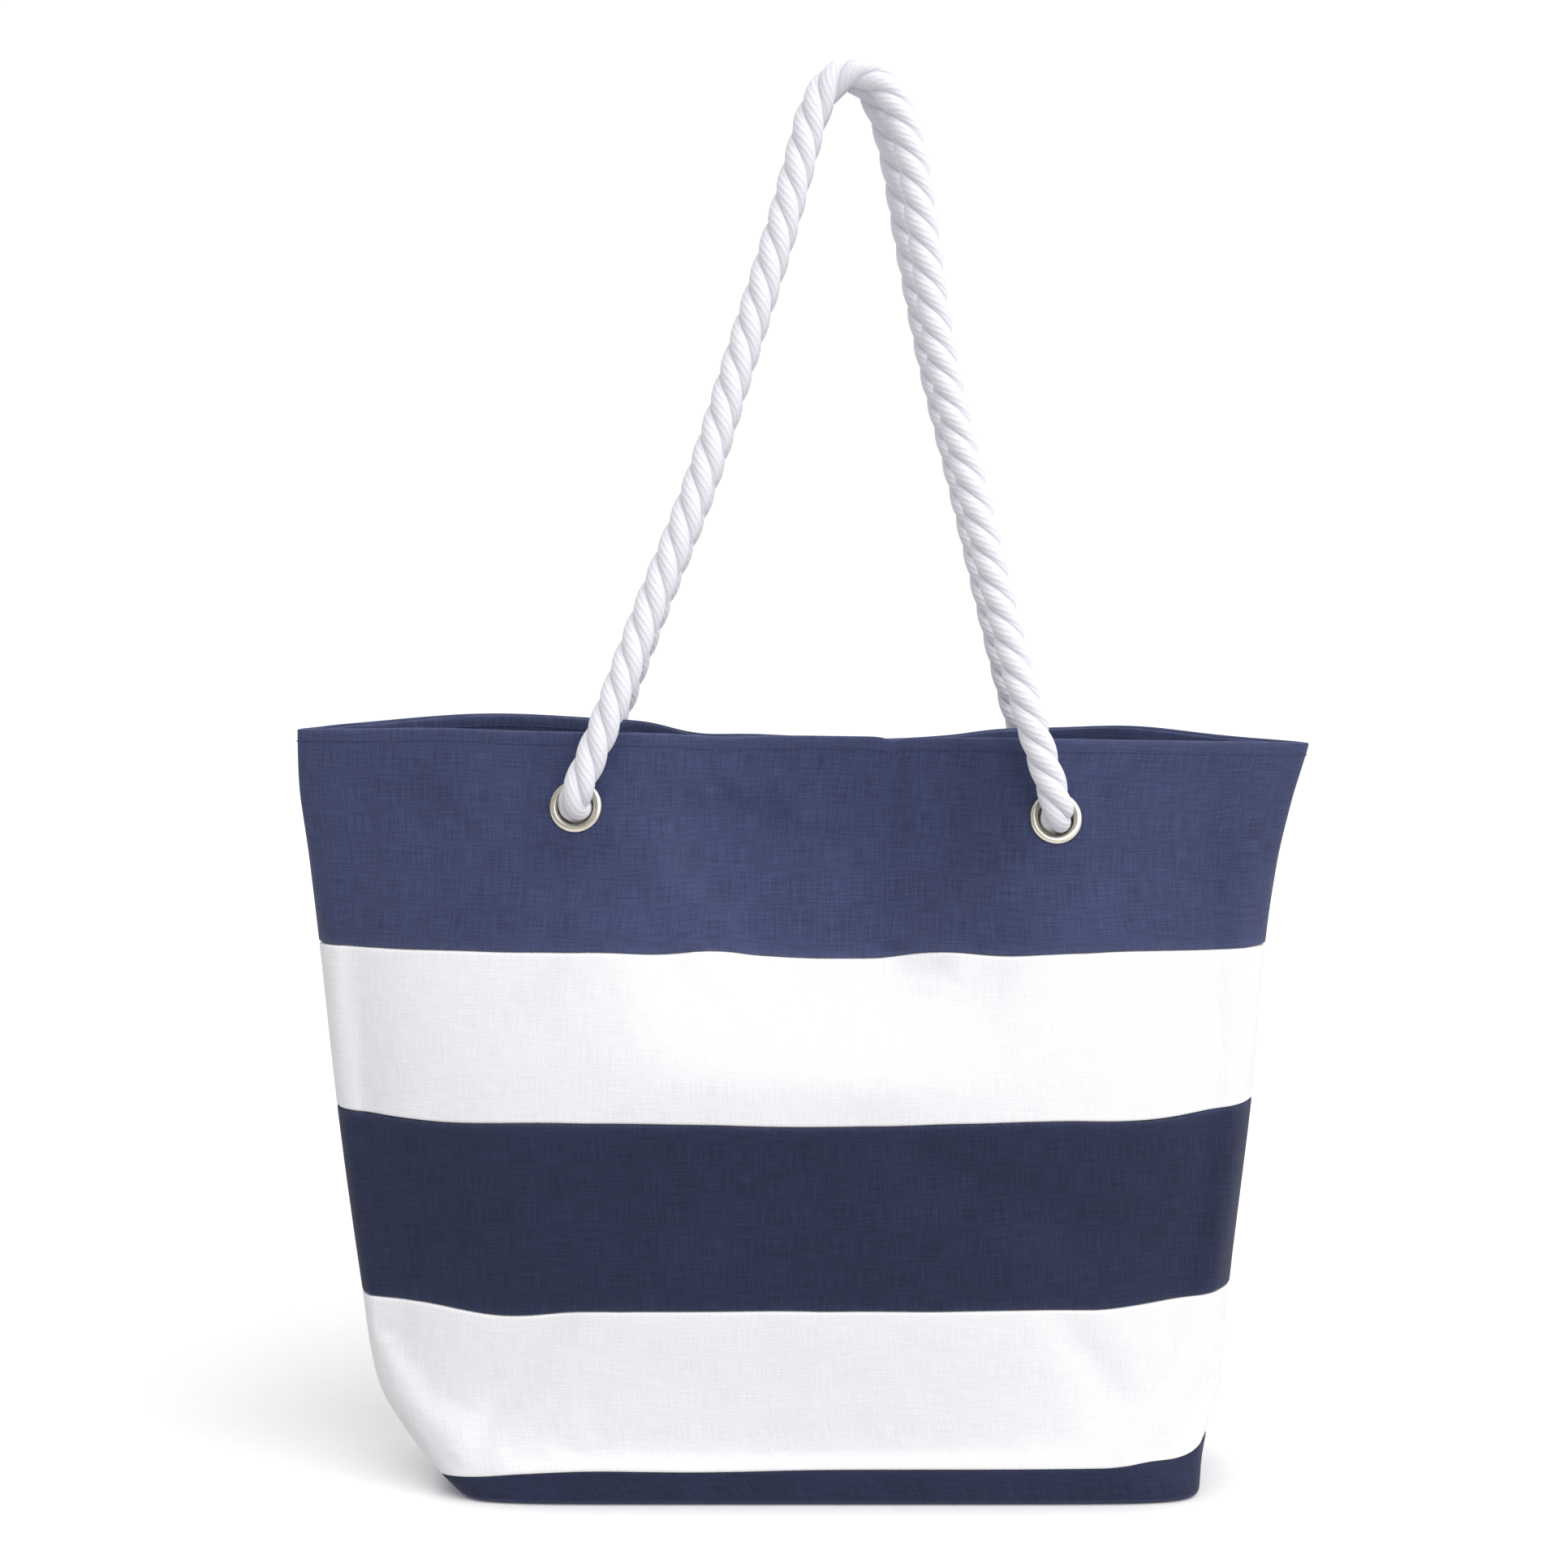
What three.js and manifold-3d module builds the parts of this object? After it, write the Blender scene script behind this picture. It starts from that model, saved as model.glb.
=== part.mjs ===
// A soft beach bag of striped canvas with two twisted rope handles.
// Millimetres, +Z up. The base rests on z = 0, the width runs along X and the front faces -Y.
// The mouth is pinched shut in the middle by a snap and stands open around the handles.
import * as THREE from "three";
import { mergeVertices } from "three/addons/utils/BufferGeometryUtils.js";
import Module from "manifold-3d";

const wasm = await Module();
wasm.setup();

// The whole bag
const rimHeight = 388; // at the side seams
const rimWidth = 520;
const baseDepth = 128;
const gap = 0.3; // left between pieces that touch

// Cloth
const canvasThickness = 1.6;
const facingThickness = 1.2;
const liningThickness = 1;
const facingDepth = 62; // how far the facing reaches down inside the rim
const edgeTuck = 3; // rounding of the bottom edge
const cornerTuck = 2.4; // rounding of the corner inside it
const foldStep = 1; // the facing stops this far below the rim
const seamAllowance = 2; // extra thickness of each layer at the side seams, in layer thicknesses

// Stripes: each seam's height at the middle of a panel and at the two side seams
const seams = {
  baseTop: { middle: 18.5, left: 10, right: 31 },
  lowerWhiteTop: { middle: 102, left: 101, right: 104 },
  navyTop: { middle: 198, left: 197, right: 200 },
  upperWhiteTop: { middle: 282, left: 281, right: 280 },
};
const seamSag = { start: 0.6, run: 0.3 }; // where a seam leaves its middle height, from 0 to 1 at the side

// The rim tips down to the right and rises where it bulges out
const rimTilt = 3.6;
const rimRise = { front: 3, back: 5 };

// The outline at some shares of the height: how far each side stands in from the rim,
// the sideways shift, the half depth beyond the base's, and how square the outline is
const outline = [
  { share: 0, taper: 69.5, shift: 14.5, swell: 0, squareness: 9 },
  { share: 0.057, taper: 56, shift: 5, swell: 2, squareness: 5 },
  { share: 0.142, taper: 40, shift: -2, swell: 6, squareness: 3.2 },
  { share: 0.27, taper: 33.5, shift: -3.5, swell: 11, squareness: 2.6 },
  { share: 0.515, taper: 22, shift: -4, swell: 13, squareness: 2.2 },
  { share: 0.735, taper: 14, shift: -5, swell: 2, squareness: 1.9 },
  { share: 0.907, taper: 4.5, shift: -3.5, swell: -18, squareness: 1.6 },
  { share: 1, taper: 0, shift: 0.4, swell: -26, squareness: 1.4 },
];

// Magnetic snap, on the facings at the middle of the mouth
const snapDrop = 30;
const snapRadius = 9;
const socketThickness = 3;
const socketRecess = { radius: 3.6, depth: 2.2 };
const studPlateThickness = 1.2;
const studLength = 1.7;
const pinch = { x: 14, halfLength: 82, start: 215, edge: 5 }; // the closed stretch of the mouth

// Eyelets and the stopper knots of the ropes behind them
const eyeletPlaces = {
  left: { x: -115, drop: 33.5 },
  right: { x: 128.5, drop: 39.5 },
};
const ropeRadius = 8.25;
const ropeClearance = 0.95; // round the rope in an eyelet
const eyeletBarrel = 0.5;
const flangeWidth = 4.3;
const flangeThickness = 1.8;
const flangeStandOff = 0.6; // clears the curve of the cloth
const washerThickness = 1;
const clothBend = 38; // tightest radius of the cloth behind a washer
const lipWidth = 1.7;
const lipThickness = 0.8;
const knotRadius = 16;
const knotLength = 21;
const knotTail = 3;

// Rope handles from the left eyelet to the right one: x, how far the rope's side stands off the
// middle of the bag, and the height above the rim
const ropeRoute = [
  [-98, 38, 13],
  [-79, 31, 63],
  [-53, 24, 128],
  [-32, 16, 193],
  [-11, 9, 259],
  [-1, 5, 295],
  [6, 2.3, 319],
  [15, 0.8, 333],
  [26, 0.6, 337.5],
  [38.5, 0.8, 333],
  [48, 2.3, 319],
  [55, 5, 295],
  [60.5, 9, 259],
  [70, 16, 193],
  [85, 24, 128],
  [101, 31, 63],
  [114, 38, 13],
];
// The back rope's right leg hangs this far inside the front one's, near the apex: none of it below the
// low height above the rim or left of the left x, and all of it above the high one and right of the right x
const backRopeSlip = { inwards: 7, low: 140, high: 300, left: 6, right: 52 };
const ropeSides = 10;
const ropeSteps = 50;

// Pocket sewn on the back lining, between two places from -1 at the left seam to 1 at the right
const pocket = { left: -1 / 3, right: 1 / 3, thickness: 1 };

const columns = 24; // of each panel, from side seam to side seam
const turns = 20; // sides of the round pieces

// Values that follow from the ones above
const innerFace = canvasThickness + gap + facingThickness;
const snapStack = socketThickness + gap + studPlateThickness;
const closedHalf = innerFace + 2 * gap + snapStack / 2;
const snapHeight = rimHeight - snapDrop;
const front = -1;
const back = 1;

const canvasNavy = cloth(0x363b5e);
const canvasWhite = cloth(0xf4f4f6);
const liningCloth = cloth(0xe6e2d8);
const ropeCotton = cloth(0xf3f2f6);
const nickel = new THREE.MeshStandardMaterial({ color: 0xc9c6bd, roughness: 0.25, metalness: 1 });

function cloth(color) {
  return new THREE.MeshStandardMaterial({ color, roughness: 0.9, metalness: 0 });
}

function mix(a, b, t) {
  return a + (b - a) * t;
}

function smooth(t) {
  const u = THREE.MathUtils.clamp(t, 0, 1);
  return u * u * (3 - 2 * u);
}

// One value of the outline at a share of the height, along a curve that never overshoots its points
function outlineAt(share, key) {
  const t = THREE.MathUtils.clamp(share, 0, 1);
  const last = outline.length - 2;
  const found = outline.findIndex((row, i) => i <= last && t <= outline[i + 1].share);
  const i = found < 0 ? last : found;
  const rise = (k) => (outline[k + 1][key] - outline[k][key]) / (outline[k + 1].share - outline[k].share);
  const slope = (k) => {
    if (k === 0) return rise(0);
    if (k > last) return rise(last);
    const product = rise(k - 1) * rise(k);
    return product <= 0 ? 0 : (2 * product) / (rise(k - 1) + rise(k));
  };
  const span = outline[i + 1].share - outline[i].share;
  const u = (t - outline[i].share) / span;
  const bend = span * (slope(i) * u * (1 - u) ** 2 - slope(i + 1) * u * u * (1 - u));
  return mix(outline[i][key], outline[i + 1][key], smooth(u)) + bend;
}

// The closed curve of the bag at one height, for a layer that lies `inset` inside the outer face
function sectionAt(height, inset) {
  const share = height / rimHeight;
  const closing = smooth((height - pinch.start) / (snapHeight - pinch.start));
  return {
    centre: outlineAt(share, "shift"),
    halfWidth: rimWidth / 2 - outlineAt(share, "taper") - inset * (1 + seamAllowance * share),
    halfDepth: baseDepth / 2 + outlineAt(share, "swell") - inset,
    closedDepth: closedHalf - inset,
    power: outlineAt(share, "squareness"),
    closing,
  };
}

// Half depth of a section at x, where `fullness` is the depth of the plain outline from 0 to 1
function depthAt(section, x, fullness) {
  const held = section.closing * Math.exp(-(Math.abs((x - pinch.x) / pinch.halfLength) ** pinch.edge));
  return gap / 2 + fullness * mix(section.halfDepth, section.closedDepth, held);
}

function sectionPoint(section, angle) {
  const cosine = Math.cos(angle);
  const sine = Math.sin(angle);
  const reach = Math.sign(cosine) * Math.abs(cosine) ** (2 / section.power);
  const x = section.centre + section.halfWidth * reach;
  return { x, y: depthAt(section, x, Math.abs(sine) ** (2 / section.power)) };
}

// Angle on the outer section at which the cloth has run the share (place + 1) / 2 of its way from
// the left seam to the right one
function angleAt(height, place) {
  const samples = 240;
  const section = sectionAt(height, 0);
  const lengths = [0];
  let before = sectionPoint(section, Math.PI);
  for (let i = 1; i <= samples; i++) {
    const point = sectionPoint(section, Math.PI * (1 - i / samples));
    lengths.push(lengths[i - 1] + Math.hypot(point.x - before.x, point.y - before.y));
    before = point;
  }
  const target = (lengths[samples] * (place + 1)) / 2;
  const i = Math.max(1, lengths.findIndex((length) => length >= target));
  const part = (target - lengths[i - 1]) / (lengths[i] - lengths[i - 1]);
  return Math.PI * (1 - (i - 1 + part) / samples);
}

// A point of a layer: side is front or back, place runs from -1 at the left seam to 1 at the right
function layerPoint(side, place, height, inset) {
  const angle = Math.abs(place) === 1 ? (Math.PI * (1 - place)) / 2 : angleAt(height, place);
  const { x, y } = sectionPoint(sectionAt(height, inset), angle);
  return new THREE.Vector3(x, side * y, height);
}

// The same layer by x and height
function layerDepth(x, height, inset) {
  const section = sectionAt(height, inset);
  const reach = Math.min(1, Math.abs((x - section.centre) / section.halfWidth));
  return depthAt(section, x, (1 - reach ** section.power) ** (1 / section.power));
}

// Levels: the height of a row of points at a place on a panel
function flatLevel(height) {
  return () => height;
}

function seamLevel(seam) {
  return (side, place) => {
    const end = place < 0 ? seam.left : seam.right;
    return mix(seam.middle, end, smooth((Math.abs(place) - seamSag.start) / seamSag.run));
  };
}

function rimLevel(side, place) {
  const point = layerPoint(side, place, rimHeight, 0);
  const fullness = Math.abs(point.y) / (baseDepth / 2 + outlineAt(1, "swell"));
  const rise = side === front ? rimRise.front : rimRise.back;
  return rimHeight - (rimTilt * point.x) / (rimWidth / 2) + rise * Math.min(1, fullness);
}

function between(lower, upper, share) {
  return (side, place) => mix(lower(side, place), upper(side, place), share);
}

function moved(level, distance) {
  return (side, place) => level(side, place) + distance;
}

// Rows shared by every layer of a panel, so that the layers stay parallel
const baseTop = seamLevel(seams.baseTop);
const lowerWhiteTop = seamLevel(seams.lowerWhiteTop);
const navyTop = seamLevel(seams.navyTop);
const upperWhiteTop = seamLevel(seams.upperWhiteTop);
const facingFoot = moved(rimLevel, -facingDepth);
const baseMiddle = between(flatLevel(edgeTuck), baseTop, 0.5);
const lowerWhiteRows = [0.3, 0.62].map((share) => between(baseTop, lowerWhiteTop, share));
const navyRow = between(lowerWhiteTop, navyTop, 0.5);
const upperWhiteRow = between(navyTop, upperWhiteTop, 0.5);
const underFacingRow = between(upperWhiteTop, facingFoot, 0.5);
const facingRows = [0.3, 0.6].map((share) => between(facingFoot, rimLevel, share));
const places = Array.from({ length: columns + 1 }, (_, i) => (2 * i) / columns - 1);

// Adds the triangles of the four-cornered face a, b, c, d
function addQuad(triangles, a, b, c, d) {
  triangles.push(a, b, c, a, c, d);
}

function geometryFrom(positions, triangles) {
  const geometry = new THREE.BufferGeometry();
  geometry.setAttribute("position", new THREE.Float32BufferAttribute(positions, 3));
  geometry.setIndex(triangles);
  return geometry;
}

// Signed volume of a closed mesh, negative when its faces point inwards
function signedVolume(positions, triangles) {
  const corner = (i) => new THREE.Vector3().fromArray(positions, 3 * triangles[i]);
  let volume = 0;
  for (let i = 0; i < triangles.length; i += 3) {
    volume += corner(i).dot(corner(i + 1).cross(corner(i + 2))) / 6;
  }
  return volume;
}

// A manifold solid from a closed geometry, with its faces turned outwards
function solidFrom(geometry, matrix = new THREE.Matrix4()) {
  const bare = new THREE.BufferGeometry();
  bare.setAttribute("position", geometry.getAttribute("position").clone());
  bare.setIndex(geometry.index);
  const merged = mergeVertices(bare.applyMatrix4(matrix), 1e-4);
  const vertProperties = new Float32Array(merged.getAttribute("position").array);
  const triVerts = new Uint32Array(merged.index.array);
  if (signedVolume(vertProperties, triVerts) < 0) triVerts.reverse();
  return new wasm.Manifold(new wasm.Mesh({ numProp: 3, vertProperties, triVerts }));
}

function geometryOf(solid) {
  const mesh = solid.getMesh();
  return geometryFrom(mesh.vertProperties, Array.from(mesh.triVerts));
}

function meshOf(name, solid, material) {
  const mesh = new THREE.Mesh(geometryOf(solid), material);
  mesh.name = name;
  return mesh;
}

// A closed sheet between two grids of points, each a list of rows with the same number of points
function sheetBetween(outer, inner) {
  const rows = outer.length;
  const wide = outer[0].length;
  const positions = [...outer.flat(), ...inner.flat()].flatMap((point) => point.toArray());
  const triangles = [];
  const at = (layer, row, column) => (layer * rows + row) * wide + column;
  for (let row = 0; row < rows - 1; row++) {
    for (let column = 0; column < wide - 1; column++) {
      addQuad(
        triangles,
        at(0, row, column),
        at(0, row, column + 1),
        at(0, row + 1, column + 1),
        at(0, row + 1, column),
      );
      addQuad(
        triangles,
        at(1, row, column),
        at(1, row + 1, column),
        at(1, row + 1, column + 1),
        at(1, row, column + 1),
      );
    }
    addQuad(triangles, at(0, row, 0), at(0, row + 1, 0), at(1, row + 1, 0), at(1, row, 0));
    const end = wide - 1;
    addQuad(triangles, at(0, row, end), at(1, row, end), at(1, row + 1, end), at(0, row + 1, end));
  }
  for (let column = 0; column < wide - 1; column++) {
    const top = rows - 1;
    addQuad(triangles, at(0, 0, column), at(1, 0, column), at(1, 0, column + 1), at(0, 0, column + 1));
    addQuad(
      triangles,
      at(0, top, column),
      at(0, top, column + 1),
      at(1, top, column + 1),
      at(1, top, column),
    );
  }
  return solidFrom(geometryFrom(positions, triangles));
}

// The points of one layer along the given rows; a row may tuck in further than the layer
function layerGrid(side, rows, inset, across = places) {
  return rows.map(({ level, tuck = 0 }) =>
    across.map((place) => layerPoint(side, place, level(side, place), inset + tuck)),
  );
}

// A panel of cloth from its lowest level to its highest, shortened by half a gap at each seam
function panel(side, levels, inset, thickness) {
  const last = levels.length - 1;
  const rows = levels.map((level, i) => {
    const trim = i === 0 ? gap / 2 : i === last ? -gap / 2 : 0;
    return { level: moved(level, trim) };
  });
  return sheetBetween(layerGrid(side, rows, inset), layerGrid(side, rows, inset + thickness));
}

function placedAt(place, side) {
  const height = rimHeight - place.drop;
  const step = 0.5;
  const depth = (x, z) => layerDepth(x, z, 0);
  const slopeX = (depth(place.x + step, height) - depth(place.x - step, height)) / (2 * step);
  const slopeZ = (depth(place.x, height + step) - depth(place.x, height - step)) / (2 * step);
  const outward = new THREE.Vector3(-slopeX, side, -slopeZ).normalize();
  const group = new THREE.Group();
  group.position.set(place.x, side * depth(place.x, height), height);
  group.quaternion.setFromUnitVectors(new THREE.Vector3(0, 1, 0), outward);
  group.updateMatrix();
  return group;
}

// Radii and heights along an eyelet's axis, outwards from the outer face of the cloth
const holeRadius = ropeRadius + ropeClearance;
const barrelRadius = holeRadius + eyeletBarrel;
const flangeRadius = holeRadius + flangeWidth;
const lipRadius = barrelRadius + lipWidth;
const flangeTop = flangeStandOff + flangeThickness;
const pivotHeight = flangeTop + 2 * gap + ropeRadius;
const washerStandOff = flangeRadius ** 2 / (2 * clothBend);
const washerOuter = -(innerFace + washerStandOff);
const washerInner = washerOuter - washerThickness;
const lipOuter = washerInner - gap;
const lipInner = lipOuter - lipThickness;

function latheSolid(profile) {
  const points = profile.map(([radius, height]) => new THREE.Vector2(radius, height));
  return solidFrom(new THREE.LatheGeometry(points, turns));
}

// Flange, barrel and rolled lip, one closed ring
function eyelet() {
  const crown = (holeRadius + flangeRadius) / 2;
  return latheSolid([
    [barrelRadius, flangeStandOff],
    [flangeRadius, flangeStandOff],
    [flangeRadius, mix(flangeStandOff, flangeTop, 0.4)],
    [crown, flangeTop],
    [holeRadius, mix(flangeStandOff, flangeTop, 0.4)],
    [holeRadius, lipInner],
    [lipRadius, lipInner],
    [lipRadius, lipOuter],
    [barrelRadius, lipOuter],
    [barrelRadius, flangeStandOff],
  ]);
}

function washer() {
  const inner = barrelRadius + gap;
  return latheSolid([
    [inner, washerInner],
    [flangeRadius, washerInner],
    [flangeRadius, washerOuter],
    [inner, washerOuter],
    [inner, washerInner],
  ]);
}

// The rope's end: from the front of the eyelet through its hole to a stopper knot and a short tail
function ropeEnd() {
  const neck = lipInner - gap;
  const belly = neck - knotLength / 2;
  const foot = neck - knotLength;
  const bulge = mix(ropeRadius, knotRadius, 0.7);
  return latheSolid([
    [0, pivotHeight - ropeRadius - gap],
    [ropeRadius, pivotHeight - ropeRadius - gap],
    [ropeRadius, neck],
    [bulge, mix(neck, belly, 0.3)],
    [knotRadius, belly],
    [bulge, mix(foot, belly, 0.3)],
    [ropeRadius, foot],
    [ropeRadius, foot - knotTail],
    [0, foot - knotTail],
  ]);
}

// The cutter for an eyelet's hole in the canvas and the facing
function eyeletHole(group) {
  const radius = barrelRadius + gap;
  const length = 2 * (innerFace + flangeRadius);
  return solidFrom(new THREE.CylinderGeometry(radius, radius, length, turns), group.matrix);
}

// One handle between the pivots just outside its two eyelets, with round ends there
function ropeHandle(side, pivots) {
  const { inwards, low, high, left, right } = backRopeSlip;
  const middle = ropeRoute.map(([x, standOff, height]) => {
    const share = smooth((height - low) / (high - low)) * smooth((x - left) / (right - left));
    const slip = side === back ? inwards * share : 0;
    return new THREE.Vector3(x - slip, side * (ropeRadius + standOff), rimHeight + height);
  });
  const route = new THREE.CatmullRomCurve3([pivots.left, ...middle, pivots.right], false, "centripetal");
  const section = new THREE.Shape();
  for (let i = 0; i < ropeSides; i++) {
    const angle = (2 * Math.PI * i) / ropeSides;
    const x = ropeRadius * Math.cos(angle);
    const y = ropeRadius * Math.sin(angle);
    if (i === 0) section.moveTo(x, y);
    else section.lineTo(x, y);
  }
  section.closePath();
  const tube = new THREE.ExtrudeGeometry(section, { steps: ropeSteps, extrudePath: route });
  return [pivots.left, pivots.right].reduce((solid, pivot) => {
    const end = new THREE.SphereGeometry(ropeRadius, ropeSides, ropeSides);
    return solid.add(solidFrom(end, new THREE.Matrix4().setPosition(pivot)));
  }, solidFrom(tube));
}

// Navy base: a shallow tray whose wall is the lowest stripe
function baseBand() {
  const ring = (level, inset) => [
    ...places.map((place) => layerPoint(front, place, level(front, place), inset)),
    ...places.toReversed().map((place) => layerPoint(back, place, level(back, place), inset)),
  ];
  const rim = moved(baseTop, -gap / 2);
  const rings = [
    ring(flatLevel(0), edgeTuck),
    ring(flatLevel(edgeTuck), 0),
    ring(baseMiddle, 0),
    ring(rim, 0),
    ring(rim, canvasThickness),
    ring(baseMiddle, canvasThickness),
    ring(flatLevel(edgeTuck + canvasThickness), canvasThickness),
    ring(flatLevel(canvasThickness), canvasThickness + cornerTuck),
  ];
  const around = rings[0].length;
  const innerRing = 4; // from here the front's faces are split along the lining's diagonals
  const underside = rings.length * around;
  const floor = underside + 1;
  const points = [...rings.flat(), new THREE.Vector3(0, 0, 0), new THREE.Vector3(0, 0, canvasThickness)];
  const triangles = [];
  for (let column = 0; column < around; column++) {
    const next = (column + 1) % around;
    for (let i = 0; i < rings.length - 1; i++) {
      const lower = i * around;
      const upper = lower + around;
      const face = [lower + column, lower + next, upper + next, upper + column];
      if (i >= innerRing && column < columns) face.push(face.shift());
      addQuad(triangles, ...face);
    }
    const last = (rings.length - 1) * around;
    triangles.push(underside, next, column);
    triangles.push(floor, last + column, last + next);
  }
  return solidFrom(geometryFrom(points.flatMap((point) => point.toArray()), triangles));
}

// Lining of one side: the wall from the facing down, and half of the floor
function lining(side) {
  const inset = canvasThickness + gap;
  const floorBottom = canvasThickness + gap;
  const rows = [
    { level: flatLevel(floorBottom), tuck: cornerTuck },
    { level: flatLevel(edgeTuck + canvasThickness + gap / 2) },
    { level: baseMiddle },
    { level: moved(baseTop, -gap / 2) },
    ...[...lowerWhiteRows, lowerWhiteTop, navyRow, navyTop].map((level) => ({ level })),
    ...[upperWhiteRow, upperWhiteTop, underFacingRow].map((level) => ({ level })),
    { level: moved(facingFoot, -gap / 2) },
  ];
  const wall = sheetBetween(layerGrid(side, rows, inset), layerGrid(side, rows, inset + liningThickness));
  const edge = layerGrid(side, [rows[0]], inset)[0];
  const outlineShape = new THREE.Shape(edge.map((point) => new THREE.Vector2(point.x, point.y)));
  const plate = new THREE.ExtrudeGeometry(outlineShape, { depth: liningThickness, bevelEnabled: false });
  return wall.add(solidFrom(plate, new THREE.Matrix4().makeTranslation(0, 0, floorBottom)));
}

// Patch pocket lying on the back lining
function innerPocket() {
  const inset = innerFace + gap;
  const rows = [navyRow, navyTop, upperWhiteRow, upperWhiteTop].map((level) => ({ level }));
  const across = places.filter((place) => place >= pocket.left && place <= pocket.right);
  const outer = layerGrid(back, rows, inset, across);
  return sheetBetween(outer, layerGrid(back, rows, inset + pocket.thickness, across));
}

function snapSocket() {
  return latheSolid([
    [0, 0],
    [snapRadius, 0],
    [snapRadius, socketThickness],
    [socketRecess.radius, socketThickness],
    [socketRecess.radius, socketThickness - socketRecess.depth],
    [0, socketThickness - socketRecess.depth],
  ]);
}

function snapStud() {
  const studRadius = socketRecess.radius - gap;
  return latheSolid([
    [0, 0],
    [snapRadius, 0],
    [snapRadius, studPlateThickness],
    [studRadius, studPlateThickness],
    [studRadius, studPlateThickness + studLength],
    [0, studPlateThickness + studLength],
  ]);
}

// The four stripes of one side, the facing behind the rim and the lining
function addPanels(bag, sideName, side, holes) {
  const cut = (solid) => holes.reduce((rest, hole) => rest.subtract(hole), solid);
  const topLevels = [upperWhiteTop, underFacingRow, facingFoot, ...facingRows, rimLevel];
  const facingLevels = [facingFoot, ...facingRows, moved(rimLevel, -foldStep)];
  const upperWhiteLevels = [navyTop, upperWhiteRow, upperWhiteTop];
  const navyLevels = [lowerWhiteTop, navyRow, navyTop];
  const lowerWhiteLevels = [baseTop, ...lowerWhiteRows, lowerWhiteTop];
  const outer = (levels) => panel(side, levels, 0, canvasThickness);
  const facing = panel(side, facingLevels, canvasThickness + gap, facingThickness);
  bag.add(meshOf(sideName + "_top_band", cut(outer(topLevels)), canvasNavy));
  bag.add(meshOf(sideName + "_upper_white_band", outer(upperWhiteLevels), canvasWhite));
  bag.add(meshOf(sideName + "_middle_navy_band", outer(navyLevels), canvasNavy));
  bag.add(meshOf(sideName + "_lower_white_band", outer(lowerWhiteLevels), canvasWhite));
  bag.add(meshOf(sideName + "_facing", cut(facing), canvasNavy));
  bag.add(meshOf(sideName + "_lining", lining(side), liningCloth));
}

// Eyelet, washer and rope end in one eyelet's own group
function fillEyelet(group, name) {
  group.add(meshOf("eyelet_" + name, eyelet(), nickel));
  group.add(meshOf("washer_" + name, washer(), nickel));
  group.add(meshOf("rope_end_" + name, ropeEnd(), ropeCotton));
}

function addSnap(bag) {
  const reach = layerDepth(pinch.x, snapHeight, innerFace + gap);
  const socket = meshOf("snap_socket", snapSocket(), nickel);
  socket.position.set(pinch.x, -reach, snapHeight);
  const stud = meshOf("snap_stud", snapStud(), nickel);
  stud.position.set(pinch.x, reach, snapHeight);
  stud.rotation.x = Math.PI;
  bag.add(socket, stud);
}

function buildBag() {
  const bag = new THREE.Group();
  bag.add(meshOf("base_band", baseBand(), canvasNavy));
  for (const [sideName, side] of Object.entries({ front, back })) {
    const pivots = {};
    const holes = [];
    for (const [end, place] of Object.entries(eyeletPlaces)) {
      const group = placedAt(place, side);
      fillEyelet(group, sideName + "_" + end);
      bag.add(group);
      holes.push(eyeletHole(group));
      pivots[end] = new THREE.Vector3(0, pivotHeight, 0).applyMatrix4(group.matrix);
    }
    addPanels(bag, sideName, side, holes);
    bag.add(meshOf(sideName + "_handle_rope", ropeHandle(side, pivots), ropeCotton));
  }
  bag.add(meshOf("inner_pocket", innerPocket(), liningCloth));
  addSnap(bag);
  return bag;
}

export default buildBag();
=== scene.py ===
import math
import bpy
import numpy as np
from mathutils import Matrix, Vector


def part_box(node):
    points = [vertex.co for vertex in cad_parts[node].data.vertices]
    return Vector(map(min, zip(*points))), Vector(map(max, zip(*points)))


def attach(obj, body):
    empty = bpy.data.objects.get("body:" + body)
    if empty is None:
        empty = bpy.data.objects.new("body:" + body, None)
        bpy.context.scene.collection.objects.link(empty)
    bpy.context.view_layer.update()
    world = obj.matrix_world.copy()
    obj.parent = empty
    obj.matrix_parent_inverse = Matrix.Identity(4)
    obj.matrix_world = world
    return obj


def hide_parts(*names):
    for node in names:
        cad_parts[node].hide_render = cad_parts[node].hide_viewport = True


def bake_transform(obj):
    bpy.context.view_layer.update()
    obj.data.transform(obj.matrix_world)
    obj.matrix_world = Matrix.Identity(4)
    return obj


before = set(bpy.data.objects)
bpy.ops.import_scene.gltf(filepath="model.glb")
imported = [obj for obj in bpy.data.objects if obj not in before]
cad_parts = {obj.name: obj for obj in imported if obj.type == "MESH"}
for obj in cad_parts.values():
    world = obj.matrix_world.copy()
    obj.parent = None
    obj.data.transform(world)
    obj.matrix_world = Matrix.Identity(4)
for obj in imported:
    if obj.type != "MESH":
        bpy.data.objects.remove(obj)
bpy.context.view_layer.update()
print("frame loaded")


# sRGB hex text to the linear colour that a shader socket takes
def linearColour(text):
    values = [int(text[i:i + 2], 16) / 255 for i in (1, 3, 5)]
    return [v / 12.92 if v <= 0.04045 else ((v + 0.055) / 1.055) ** 2.4 for v in values] + [1]


# Sets a node's inputs, each to a value, to another node's output or to another node's first output
def setInputs(node, inputs):
    for key, value in inputs.items():
        if isinstance(value, bpy.types.Node):
            value = value.outputs[0]
        if isinstance(value, bpy.types.NodeSocket):
            node.id_data.links.new(value, node.inputs[key])
        else:
            node.inputs[key].default_value = value


# Adds a node: inputs by socket, and its own settings by name
def addNode(tree, kind, inputs=None, **settings):
    node = tree.nodes.new(kind)
    for name, value in settings.items():
        setattr(node, name, value)
    setInputs(node, inputs or {})
    return node


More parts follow.
